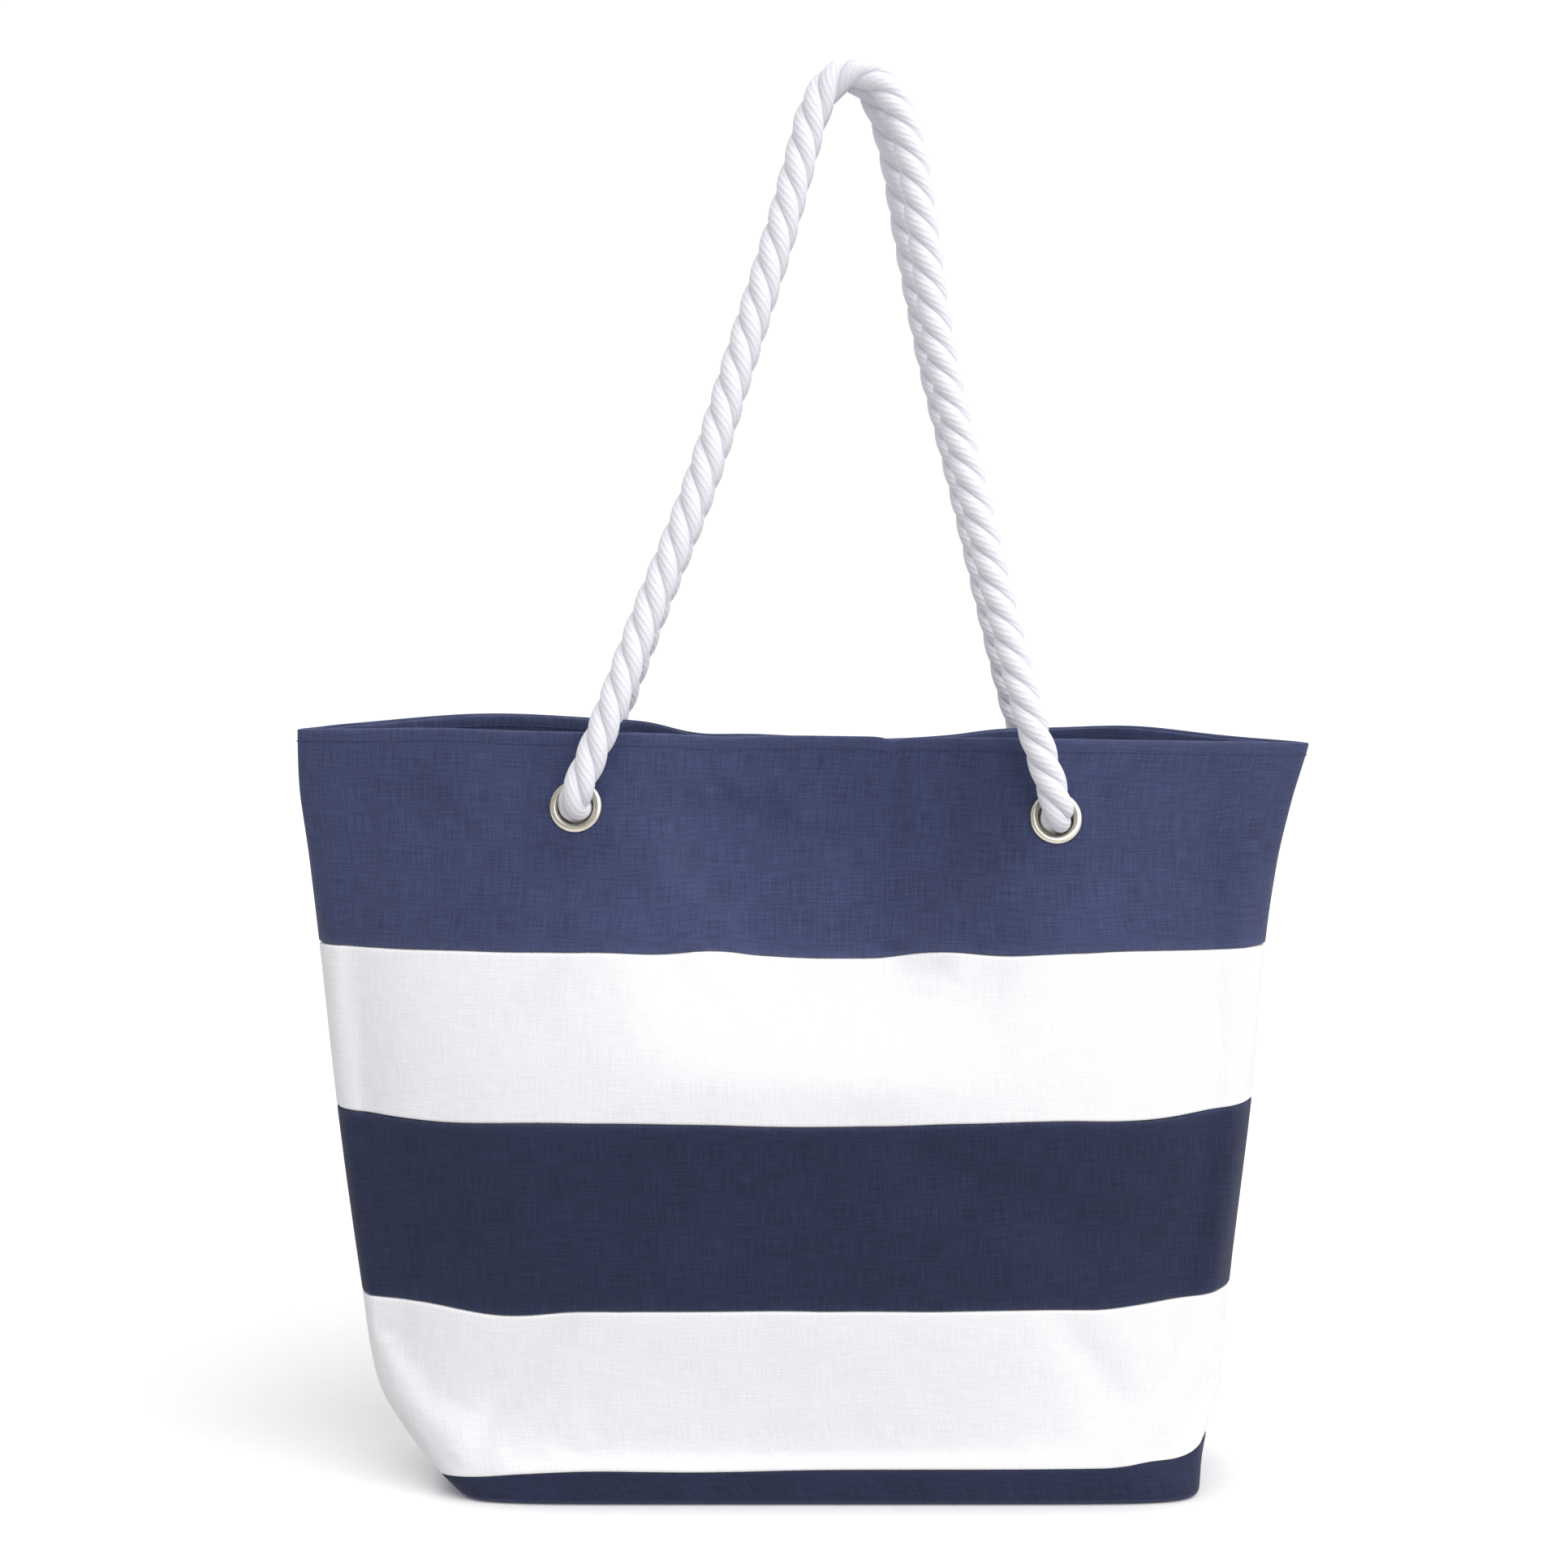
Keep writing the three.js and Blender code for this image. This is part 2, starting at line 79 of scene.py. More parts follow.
def newMaterial(name):
    material = bpy.data.materials.new(name)
    material.use_nodes = True
    tree = material.node_tree
    tree.nodes.clear()
    shader = addNode(tree, "ShaderNodeBsdfPrincipled")
    addNode(tree, "ShaderNodeOutputMaterial", {"Surface": shader})
    return material, tree, shader


def placeObject(name, data):
    made = bpy.data.objects.new(name, data)
    bpy.context.scene.collection.objects.link(made)
    return made


# Camera, lights and floor

cameraSetup = {"place": (-0.0095, -1.5, 0.494), "tilt": 85, "lens": 66.52, "sensor": 36}

cameraData = bpy.data.cameras.new("camera")
cameraData.lens = cameraSetup["lens"]
cameraData.sensor_width = cameraSetup["sensor"]
camera = placeObject("camera", cameraData)
camera.location = cameraSetup["place"]
camera.rotation_euler = (math.radians(cameraSetup["tilt"]), 0, 0)
bpy.context.scene.camera = camera
bpy.context.scene.view_settings.view_transform = "Standard"
bpy.context.scene.view_settings.look = "None"

# Wide soft lights: the main one from the right and in front, one from above and a weak one from behind
softLights = [
    {"name": "key", "from": (0.88, -0.92, 0.95), "spread": 70, "strength": 2.15},
    {"name": "top", "from": (0.15, -0.2, 1.0), "spread": 80, "strength": 0.4},
    {"name": "back", "from": (-0.7, 0.9, 0.8), "spread": 80, "strength": 0.5},
]
for lamp in softLights:
    lampData = bpy.data.lights.new(lamp["name"], "SUN")
    lampData.angle = math.radians(lamp["spread"])
    lampData.energy = lamp["strength"]
    aim = (-Vector(lamp["from"])).to_track_quat("-Z", "Y")
    placeObject(lamp["name"], lampData).rotation_euler = aim.to_euler()

# White to the camera, dimmer as a light, so that the navy cloth keeps its depth
studioSetup = {"toCamera": 1.05, "asLight": 0.63}

world = bpy.data.worlds.new("studio")
world.use_nodes = True
world.node_tree.nodes.clear()
seen = addNode(world.node_tree, "ShaderNodeLightPath").outputs["Is Camera Ray"]
strength = addNode(world.node_tree, "ShaderNodeMapRange", {
    "Value": seen, "To Min": studioSetup["asLight"], "To Max": studioSetup["toCamera"]})
studioLight = addNode(world.node_tree, "ShaderNodeBackground", {
    "Color": linearColour("#ffffff"), "Strength": strength})
addNode(world.node_tree, "ShaderNodeOutputWorld", {"Surface": studioLight})
bpy.context.scene.world = world

# Matt white paper sweep
paperSetup = {"half": 9, "height": -0.0003, "dark": "#f6f6f7", "light": "#fbfbfb"}

paper, paperTree, paperShader = newMaterial("matt white paper")
fibres = addNode(paperTree, "ShaderNodeTexNoise", {
    "Vector": addNode(paperTree, "ShaderNodeTexCoord").outputs["Object"], "Scale": 90.0})
paperTone = addNode(paperTree, "ShaderNodeMix", {
    0: fibres, 6: linearColour(paperSetup["dark"]), 7: linearColour(paperSetup["light"])}, data_type="RGBA")
setInputs(paperShader, {"Base Color": paperTone.outputs[2], "Roughness": 0.95, "Specular IOR Level": 0.2})
floorData = bpy.data.meshes.new("floor")
floorData.from_pydata([(x * paperSetup["half"], y * paperSetup["half"], paperSetup["height"])
                       for x, y in ((-1, -1), (1, -1), (1, 1), (-1, 1))], [], [(0, 1, 2, 3)])
floorData.materials.append(paper)
floor = placeObject("floor", floorData)
floor.visible_diffuse = False  # the floor throws no light up at the bag
print("camera, lights and floor made")


# Mesh helpers

def addObject(name, points, faces, material, uv=None, attributes=None, smoothAngle=None):
    mesh = bpy.data.meshes.new(name)
    mesh.from_pydata([tuple(p) for p in points], [], faces)
    mesh.materials.append(material)
    if uv is not None:
        layer = mesh.uv_layers.new(name="cloth")
        layer.data.foreach_set("uv", np.asarray(uv, dtype=np.float32).ravel())
    for key, values in (attributes or {}).items():
        made = mesh.attributes.new(key, "FLOAT", "POINT")
        made.data.foreach_set("value", np.asarray(values, dtype=np.float32))
    mesh.polygons.foreach_set("use_smooth", [True] * len(mesh.polygons))
    if smoothAngle is not None:
        mesh.set_sharp_from_angle(angle=math.radians(smoothAngle))
    return placeObject(name, mesh)


def unit(vectors):
    return vectors / np.maximum(np.linalg.norm(vectors, axis=-1, keepdims=True), 1e-12)


# How far along a line of points each of them is
def runAlong(points):
    return np.concatenate([[0], np.cumsum(np.linalg.norm(np.diff(points, axis=0), axis=1))])


# Two directions square to a line of points that turn as little as they can along it
def squareTo(points):
    tangents = unit(np.gradient(points, axis=0))
    steep = abs(tangents[0][2]) >= 0.9
    normals = [unit(np.cross(tangents[0], (1, 0, 0) if steep else (0, 0, 1)))]
    for tangent in tangents[1:]:
        normals.append(unit(normals[-1] - np.dot(normals[-1], tangent) * tangent))
    normals = np.array(normals)
    return normals, np.cross(tangents, normals)


# Directions round an axis, evenly spread
def circleRound(axis, angles):
    across = unit(np.cross(axis, (0, 0, 1)))
    return np.cos(angles)[:, None] * across + np.sin(angles)[:, None] * np.cross(axis, across)


def evenly(points, spacing):
    run = runAlong(points)
    wanted = np.linspace(0, run[-1], max(2, int(round(run[-1] / spacing)) + 1))
    return np.stack([np.interp(wanted, run, points[:, k]) for k in range(3)], axis=1)


def between(t, start, end, first, last):
    return (end - t) / (end - start) * first + (t - start) / (end - start) * last


# A centripetal spline through the given points, as the CAD part uses for its ropes
def splineThrough(points, steps=24):
    points = np.asarray(points, dtype=float)
    ends = np.concatenate([[2 * points[0] - points[1]], points, [2 * points[-1] - points[-2]]])
    line = []
    for i in range(len(points) - 1):
        p = ends[i:i + 4]
        at = np.concatenate([[0], np.cumsum(np.linalg.norm(np.diff(p, axis=0), axis=1) ** 0.5)])
        for t in np.linspace(at[1], at[2], steps, endpoint=False):
            a = [between(t, at[k], at[k + 1], p[k], p[k + 1]) for k in range(3)]
            b = [between(t, at[k], at[k + 2], a[k], a[k + 1]) for k in range(2)]
            line.append(between(t, at[1], at[2], b[0], b[1]))
    return np.array([*line, points[-1]])


# Shape of the bag, by the same rule as its CAD solids

bag = {
    "rimHeight": 0.388, "rimWidth": 0.520, "baseDepth": 0.128, "gap": 0.0003,
    "canvas": 0.0016, "facing": 0.0012, "lining": 0.001, "facingDepth": 0.062, "foldStep": 0.001,
    "seamAllowance": 2, "rimTilt": 0.0036, "rimRise": {-1: 0.003, 1: 0.005},
    "pinch": {"x": 0.014, "halfLength": 0.082, "start": 0.215, "edge": 5},
    "snapDrop": 0.030, "snapStack": 0.0045,
}
outline = {
    "share": [0, 0.057, 0.142, 0.27, 0.515, 0.735, 0.907, 1],
    "taper": [0.0695, 0.056, 0.040, 0.0335, 0.022, 0.014, 0.0045, 0],
    "shift": [0.0145, 0.005, -0.002, -0.0035, -0.004, -0.005, -0.0035, 0.0004],
    "swell": [0, 0.002, 0.006, 0.011, 0.013, 0.002, -0.018, -0.026],
    "squareness": [9, 5, 3.2, 2.6, 2.2, 1.9, 1.6, 1.4],
}
# Height of each seam in the middle, at the left and at the right, which it reaches past a share of the side
seams = {
    "baseTop": (0.0185, 0.010, 0.031),
    "lowerWhiteTop": (0.102, 0.101, 0.104),
    "navyTop": (0.198, 0.197, 0.200),
    "upperWhiteTop": (0.282, 0.281, 0.280),
}
seamTurn = {"start": 0.6, "width": 0.3}
tableSetup = {"top": 0.4, "rows": 201, "columns": 401, "angles": 1201, "shares": 389}
underCanvas = bag["canvas"] + bag["gap"]
innerFace = underCanvas + bag["facing"]
closedHalf = innerFace + 2 * bag["gap"] + bag["snapStack"] / 2
snapHeight = bag["rimHeight"] - bag["snapDrop"]


def smooth(t):
    u = np.clip(t, 0, 1)
    return u * u * (3 - 2 * u)


def smoothCurve(shares, values, wanted):
    shares, values = np.array(shares, float), np.array(values, float)
    rise = np.diff(values) / np.diff(shares)
    inner = [0 if a * b <= 0 else 2 * a * b / (a + b) for a, b in zip(rise, rise[1:])]
    slope = np.array([rise[0], *inner, rise[-1]])
    i = np.clip(np.searchsorted(shares, wanted, side="right") - 1, 0, len(rise) - 1)
    span = shares[i + 1] - shares[i]
    u = (wanted - shares[i]) / span
    bend = span * (slope[i] * u * (1 - u) ** 2 - slope[i + 1] * u * u * (1 - u))
    return values[i] + (values[i + 1] - values[i]) * smooth(u) + bend


tableShares = np.linspace(0, 1, tableSetup["shares"])
outlineTable = {key: smoothCurve(outline["share"], outline[key], tableShares)
                for key in ("taper", "shift", "swell", "squareness")}


def outlineAt(share, key):
    return np.interp(np.clip(share, 0, 1), tableShares, outlineTable[key])


# x and depth of a layer at a height, from its reach (-1 to 1 across) and its fullness (0 to 1)
def layerXY(height, reach, fullness, inset):
    share = height / bag["rimHeight"]
    pinch = bag["pinch"]
    halfWidth = bag["rimWidth"] / 2 - outlineAt(share, "taper") - inset * (1 + bag["seamAllowance"] * share)
    x = outlineAt(share, "shift") + halfWidth * reach
    halfDepth = bag["baseDepth"] / 2 + outlineAt(share, "swell") - inset
    closing = smooth((height - pinch["start"]) / (snapHeight - pinch["start"]))
    held = closing * np.exp(-(np.abs((x - pinch["x"]) / pinch["halfLength"]) ** pinch["edge"]))
    depth = halfDepth + (closedHalf - inset - halfDepth) * held
    return x, bag["gap"] / 2 + fullness * depth


# Reach and fullness where the cloth has run a given share of its way across, for heights up to the rim
tableHeights = np.linspace(0, tableSetup["top"], tableSetup["rows"])
reachTable = np.zeros((tableSetup["rows"], tableSetup["columns"]))
fullTable = np.zeros_like(reachTable)
panelWidths = np.zeros(tableSetup["rows"])
angles = np.linspace(math.pi, 0, tableSetup["angles"])
for row, height in enumerate(tableHeights):
    power = outlineAt(height / bag["rimHeight"], "squareness")
    size = (np.abs(np.cos(angles)) ** power + np.abs(np.sin(angles)) ** power) ** (1 / power)
    reach, fullness = np.cos(angles) / size, np.sin(angles) / size
    x, y = layerXY(height, reach, fullness, 0)
    lengths = np.concatenate([[0], np.cumsum(np.hypot(np.diff(x), np.diff(y)))])
    panelWidths[row] = lengths[-1]
    wanted = (np.linspace(-1, 1, tableSetup["columns"]) + 1) / 2 * lengths[-1]
    reachTable[row] = np.interp(wanted, lengths, reach)
    fullTable[row] = np.interp(wanted, lengths, fullness)


def lookUp(table, height, place):
    row = np.clip(height / tableHeights[-1], 0, 1) * (table.shape[0] - 1)
    column = (np.clip(place, -1, 1) + 1) / 2 * (table.shape[1] - 1)
    i = np.minimum(row.astype(int), table.shape[0] - 2)
    j = np.minimum(column.astype(int), table.shape[1] - 2)
    u, v = row - i, column - j
    low = table[i, j] * (1 - v) + table[i, j + 1] * v
    high = table[i + 1, j] * (1 - v) + table[i + 1, j + 1] * v
    return low * (1 - u) + high * u


# A point of a still layer: side is -1 at the front and 1 at the back, place -1 to 1 from left to right seam
def stillPoint(side, place, height, inset):
    place, height, inset = np.broadcast_arrays(np.asarray(place, float), np.asarray(height, float), inset)
    reach, fullness = lookUp(reachTable, height, place), np.abs(lookUp(fullTable, height, place))
    x, y = layerXY(height, reach, fullness, inset)
    return np.stack([x, side * y, height], axis=-1)


def depthOver(x, height):
    share = height / bag["rimHeight"]
    power = outlineAt(share, "squareness")
    reach = (x - outlineAt(share, "shift")) / (bag["rimWidth"] / 2 - outlineAt(share, "taper"))
    fullness = (1 - np.minimum(1, np.abs(reach)) ** power) ** (1 / power)
    return layerXY(height, reach, fullness, 0)[1]


# Levels: each gives the height of a row on a side at a place
def seamLevel(name):
    middle, left, right = seams[name]

    def level(side, place):
        turned = smooth((np.abs(place) - seamTurn["start"]) / seamTurn["width"])
        return middle + (np.where(place < 0, left, right) - middle) * turned

    return level


def rimLevel(side, place):
    point = stillPoint(side, place, bag["rimHeight"], 0)
    fullness = np.abs(point[..., 1]) / (bag["baseDepth"] / 2 + outlineAt(1, "swell"))
    return (bag["rimHeight"] - bag["rimTilt"] * point[..., 0] / (bag["rimWidth"] / 2)
            + bag["rimRise"][side] * np.minimum(1, fullness))


def underRim(drop):
    return lambda side, place: rimLevel(side, place) - drop


def flatLevel(height):
    return lambda side, place: np.full(np.shape(place), float(height))


# Ropes and eyelets

eyeletSetup = {
    "places": {"left": (-0.115, 0.0335), "right": (0.1285, 0.0395)},  # x, and how far under the rim
    "holeRadius": 0.0092, "barrel": 0.0005, "flangeRadius": 0.0135, "flangeOver": 0.0006,
    "flangeThickness": 0.0018, "washerStandOff": 0.0024, "washerThickness": 0.001,
    "lipRadius": 0.0114, "lipThickness": 0.0008, "chamfer": 0.0002,
    # the cloth lies flat under the flange: its height, radius and fade, and how far off it counts
    "seat": 0.00045, "flatRadius": 0.0145, "flatFade": 0.014, "pushFade": 0.008, "reach": 0.02,
}
ropeSetup = {
    "radius": 0.00825, "strands": 3, "strandRadius": 0.0039, "strandWidth": 1.22, "helixRadius": 0.00435,
    "lay": 0.048, "strandSides": 18, "step": 0.0016, "pathStep": 0.003, "firstTurn": {-1: 0.4, 1: 1.7},
    # painted shade: each strand's colour darkens where it turns in towards the rope's core, in the grooves
    # between strands
    "grooveShade": {"start": 0.62, "swing": 0.75, "power": 1.5, "end": 0.5},  # dark towards the core
    # the back rope's right leg hangs this far inside the front one's, set in between two heights and two x
    "slip": {"inwards": 0.007, "low": 0.140, "high": 0.300, "left": 0.006, "right": 0.052},
    # the turn out of an eyelet: places on its axis, then two points by their distance along axis and leg
    "inEyelet": (-0.014, -0.008, -0.002, 0.003), "turnOut": (0.0082, 0.0022), "overFlange": (-0.0002, 0.0085),
    "onLeg": 0.0165,
    # x, how far the rope's side stands off the middle, and the height above the rim
    "route": [
        (-0.098, 0.038, 0.013), (-0.079, 0.031, 0.063), (-0.053, 0.024, 0.128), (-0.032, 0.016, 0.193),
        (-0.011, 0.009, 0.259), (-0.001, 0.005, 0.295), (0.006, 0.0023, 0.319), (0.015, 0.0008, 0.333),
        (0.026, 0.0006, 0.3375), (0.0385, 0.0008, 0.333), (0.048, 0.0023, 0.319), (0.055, 0.005, 0.295),
        (0.0605, 0.009, 0.259), (0.070, 0.016, 0.193), (0.085, 0.024, 0.128), (0.101, 0.031, 0.063),
        (0.114, 0.038, 0.013),
    ],
}
knotSetup = {"start": -0.0082, "length": 0.020, "radius": 0.0118, "turns": 0.62, "tail": 0.0042, "ends": 0.2,
             "first": 0.1, "share": 0.8, "steps": 90, "strandRadius": 0.98, "strandSides": 16}


# Centre on the outer face and outward axis of an eyelet
def eyeletFrame(side, end, step=0.0005):
    x, drop = eyeletSetup["places"][end]
    height = bag["rimHeight"] - drop
    slopeX = (depthOver(x + step, height) - depthOver(x - step, height)) / (2 * step)
    slopeZ = (depthOver(x, height + step) - depthOver(x, height - step)) / (2 * step)
    axis = unit(np.array([-slopeX, side, -slopeZ]))
    return np.array([x, side * depthOver(x, height), height]), axis


# How far points are from an eyelet: along its axis, and the way out from the axis
def fromEyelet(points, side, end):
    centre, axis = eyelets[side, end]
    offset = points - centre
    over = offset @ axis
    return over, offset - over[..., None] * axis


sideNames = {-1: "front", 1: "back"}
ends = ("left", "right")
eyelets = {(side, end): eyeletFrame(side, end) for side in sideNames for end in ends}
flangeTop = eyeletSetup["flangeOver"] + eyeletSetup["flangeThickness"]
pivotHeight = flangeTop + 2 * bag["gap"] + ropeSetup["radius"]

# Soft twisted cotton rope, bleached: matt and fluffy, with fine yarns that run across each strand
# 9 yarns round a strand, turning 85 times in a metre of it, under a 1 mm fluff
cottonRope, ropeTree, ropeShader = newMaterial("twisted bleached cotton rope")
yarnPlace = addNode(ropeTree, "ShaderNodeMapping", {
    "Vector": addNode(ropeTree, "ShaderNodeUVMap", uv_map="cloth"), "Scale": (85.0, 9.0, 1.0)})
yarnAxes = addNode(ropeTree, "ShaderNodeSeparateXYZ", {0: yarnPlace})
yarnSum = addNode(ropeTree, "ShaderNodeMath", {0: yarnAxes, 1: yarnAxes.outputs[1]}, operation="ADD")
yarnTurn = addNode(ropeTree, "ShaderNodeMath", {0: yarnSum, 1: 2 * math.pi}, operation="MULTIPLY")
yarnWave = addNode(ropeTree, "ShaderNodeMath", {0: yarnTurn}, operation="SINE")
fluff = addNode(ropeTree, "ShaderNodeTexNoise", {
    "Vector": addNode(ropeTree, "ShaderNodeTexCoord").outputs["Object"], "Scale": 900.0, "Detail": 3.0})
yarnHeight = addNode(ropeTree, "ShaderNodeMath", {0: yarnWave, 1: 0.35, 2: fluff}, operation="MULTIPLY_ADD")
ropeBump = addNode(ropeTree, "ShaderNodeBump", {"Height": yarnHeight, "Strength": 0.55, "Distance": 0.0005})
# Painted shade: lilac-grey where the strands turn in towards the core, in the grooves between them
grooveShade = addNode(ropeTree, "ShaderNodeAttribute", attribute_name="grooveShade")
grooveShadeTone = addNode(ropeTree, "ShaderNodeMix", {
    0: grooveShade.outputs["Fac"], 6: linearColour("#e6e5ec"), 7: linearColour("#c6c3d5")}, data_type="RGBA")
# Painted shade as well: the hollows between the yarns stay darker and the yarns' crests are lighter
yarnShade = addNode(ropeTree, "ShaderNodeMapRange", {
    "Value": yarnHeight, "From Min": -0.1, "From Max": 0.9, "To Min": 0.0, "To Max": 0.4})
ropeTone = addNode(ropeTree, "ShaderNodeMix", {
    0: yarnShade, 6: grooveShadeTone.outputs[2], 7: linearColour("#f0f0f5")}, data_type="RGBA")
setInputs(ropeShader, {"Base Color": ropeTone.outputs[2], "Normal": ropeBump, "Roughness": 0.95,
                       "Specular IOR Level": 0.25, "Sheen Weight": 0.1, "Sheen Roughness": 0.6})


# Round strands along several lines, as one mesh with closed ends; painted shade darkens each strand where it
# turns in towards the core
def strandMesh(name, lines, radius, sides, cores):
    points, faces, uv, grooveShades = [], [], [], []
    angles = np.linspace(0, 2 * math.pi, sides, endpoint=False)
    shade = ropeSetup["grooveShade"]
    depths = np.clip(shade["start"] - shade["swing"] * np.cos(angles), 0, 1) ** shade["power"]
    for line, core in zip(lines, cores):
        tangents = unit(np.gradient(line, axis=0))
        outwards = unit(line - core)
        normals = unit(outwards - np.sum(outwards * tangents, axis=1, keepdims=True) * tangents)
        binormals = np.cross(tangents, normals)
        ring = (np.cos(angles)[None, :, None] * normals[:, None, :]
                + ropeSetup["strandWidth"] * np.sin(angles)[None, :, None] * binormals[:, None, :])
        first = len(points)
        points += list((line[:, None, :] + radius * ring).reshape(-1, 3))
        grooveShades += list(np.tile(depths, len(line)))
        run = runAlong(line)
        for i in range(len(line) - 1):
            for k in range(sides):
                after = (k + 1) % sides
                a = first + i * sides
                faces.append((a + k, a + after, a + sides + after, a + sides + k))
                uv += [(run[i], k / sides), (run[i], (k + 1) / sides),
                       (run[i + 1], (k + 1) / sides), (run[i + 1], k / sides)]
        for i, turn in ((0, -1), (len(line) - 1, 1)):
            centre = len(points)
            points.append(line[i])
            grooveShades.append(shade["end"])
            for k in range(sides):
                edge = (first + i * sides + k, first + i * sides + (k + 1) % sides)
                faces.append((*edge[::turn], centre))
                uv += [(run[i], k / sides)] * 3
    return addObject(name, points, faces, cottonRope, uv, {"grooveShade": grooveShades})


# The strands of a rope along its centre line: they turn left-handed, as in an S-laid rope
def strandLines(centre, phase):
    normals, binormals = squareTo(centre)
    lines = []
    for i in range(ropeSetup["strands"]):
        angle = phase + 2 * math.pi * (i / ropeSetup["strands"] - runAlong(centre) / ropeSetup["lay"])
        offset = np.cos(angle)[:, None] * normals + np.sin(angle)[:, None] * binormals
        lines.append(centre + ropeSetup["helixRadius"] * offset)
    return lines


def ropePath(side):
    slip = ropeSetup["slip"]
    middle = []
    for x, standOff, height in ropeSetup["route"]:
        share = smooth((height - slip["low"]) / (slip["high"] - slip["low"]))
        share *= smooth((x - slip["left"]) / (slip["right"] - slip["left"]))
        inwards = slip["inwards"] * share if side == 1 else 0
        middle.append((x - inwards, side * (ropeSetup["radius"] + standOff), bag["rimHeight"] + height))
    turns = {}
    for end, along in (("left", middle[0]), ("right", middle[-1])):
        centre, axis = eyelets[side, end]
        pivot = centre + pivotHeight * axis
        leg = unit(np.array(along) - pivot)
        turns[end] = [centre + depth * axis for depth in ropeSetup["inEyelet"]]
        for start, (out, on) in ((centre, ropeSetup["turnOut"]), (pivot, ropeSetup["overFlange"])):
            turns[end].append(start + out * axis + on * leg)
        turns[end].append(pivot + ropeSetup["onLeg"] * leg)
    return splineThrough([*turns["left"], *middle, *turns["right"][::-1]])


ropes, ropePaths = {}, {}
for side, name in sideNames.items():
    path = evenly(ropePath(side), ropeSetup["step"])
    lines = strandLines(path, ropeSetup["firstTurn"][side])
    ropes[side] = strandMesh(name + "Rope", lines, ropeSetup["strandRadius"], ropeSetup["strandSides"],
                             [path] * len(lines))
    ropePaths[side] = evenly(path, ropeSetup["pathStep"])
    print(name, "rope is", round(float(runAlong(path)[-1]), 4), "m long")


# Stopper knots: each strand turns out, round the others and back to the middle, then a whipped tail
def knotMesh(name, side, end):
    centre, axis = eyelets[side, end]
    own = knotSetup
    t = np.linspace(0, 1, own["steps"])
    spread = np.minimum(smooth(t / own["ends"]), smooth((1 - t) / own["ends"]))
    radius = ropeSetup["helixRadius"] + (own["radius"] - ropeSetup["helixRadius"]) * spread
    along = own["start"] - own["length"] * (own["first"] + own["share"] * t)
    along = along - own["tail"] * smooth((t - (1 - own["ends"])) / own["ends"])
    core = centre + along[:, None] * axis
    lines = []
    for i in range(ropeSetup["strands"]):
        angles = 2 * math.pi * (i / ropeSetup["strands"] + own["turns"] * t)
        lines.append(core + radius[:, None] * circleRound(axis, angles))
    return strandMesh(name, lines, ropeSetup["strandRadius"] * own["strandRadius"], own["strandSides"],
                      [core] * len(lines))


# What is on the bag's body: each piece with its CAD node, its material slot and, on cloth, its flat size
bagPieces = []
for side, end in eyelets:
    made = knotMesh(sideNames[side] + end.capitalize() + "Knot", side, end)
    bagPieces.append((made, "rope_end_" + sideNames[side] + "_" + end, "cotton_rope", None))
print("stopper knots made")


# Soft folds in the standing cloth

# side, x, z, lean in degrees, length, width and rise of each
folds = [
    # valley and ridges that run down from the pinched mouth at its right end
    (-1, 0.0475, 0.372, 4, 0.040, 0.0035, -0.0013),
    (-1, 0.058, 0.352, 2, 0.048, 0.0090, 0.0022),
    (-1, 0.077, 0.350, 6, 0.042, 0.0070, -0.0016),
    (-1, -0.052, 0.348, -6, 0.042, 0.0120, -0.0016),
    (-1, -0.142, 0.352, 10, 0.035, 0.0110, -0.0022),
    (-1, 0.104, 0.352, -8, 0.034, 0.0080, -0.0016),
    # slack across the middle stripes
    (-1, -0.130, 0.150, 62, 0.080, 0.0180, -0.0028),
    (-1, -0.010, 0.170, 55, 0.060, 0.0160, -0.0020),
    (-1, 0.100, 0.160, -64, 0.080, 0.0170, -0.0022),
    (-1, -0.165, 0.235, 48, 0.050, 0.0130, -0.0020),
    # creases that rise from the corners of the base
    (-1, -0.150, 0.060, 38, 0.055, 0.0100, -0.0030),
    (-1, 0.160, 0.055, -34, 0.055, 0.0110, -0.0020),
    (1, -0.150, 0.065, 36, 0.055, 0.0110, -0.0030),
    (1, 0.158, 0.060, -38, 0.055, 0.0110, -0.0030),
    # the back's own slack and folds
    (1, 0.020, 0.160, 60, 0.090, 0.0180, -0.0028),
    (1, -0.060, 0.340, -8, 0.060, 0.0120, -0.0020),
    (1, 0.075, 0.345, 8, 0.055, 0.0100, -0.0020),
]
# The rim rides up behind the ropes and dips beside the closed stretch: side, x, width and rise of each wave
rimWaves = [
    (1, -0.168, 0.060, 0.0050), (1, 0.175, 0.036, 0.0034), (1, -0.056, 0.020, -0.0024),
    (-1, -0.190, 0.035, 0.0012), (-1, -0.040, 0.020, -0.0014), (-1, 0.048, 0.006, -0.0016),
    (1, 0.030, 0.045, -0.0022),
]
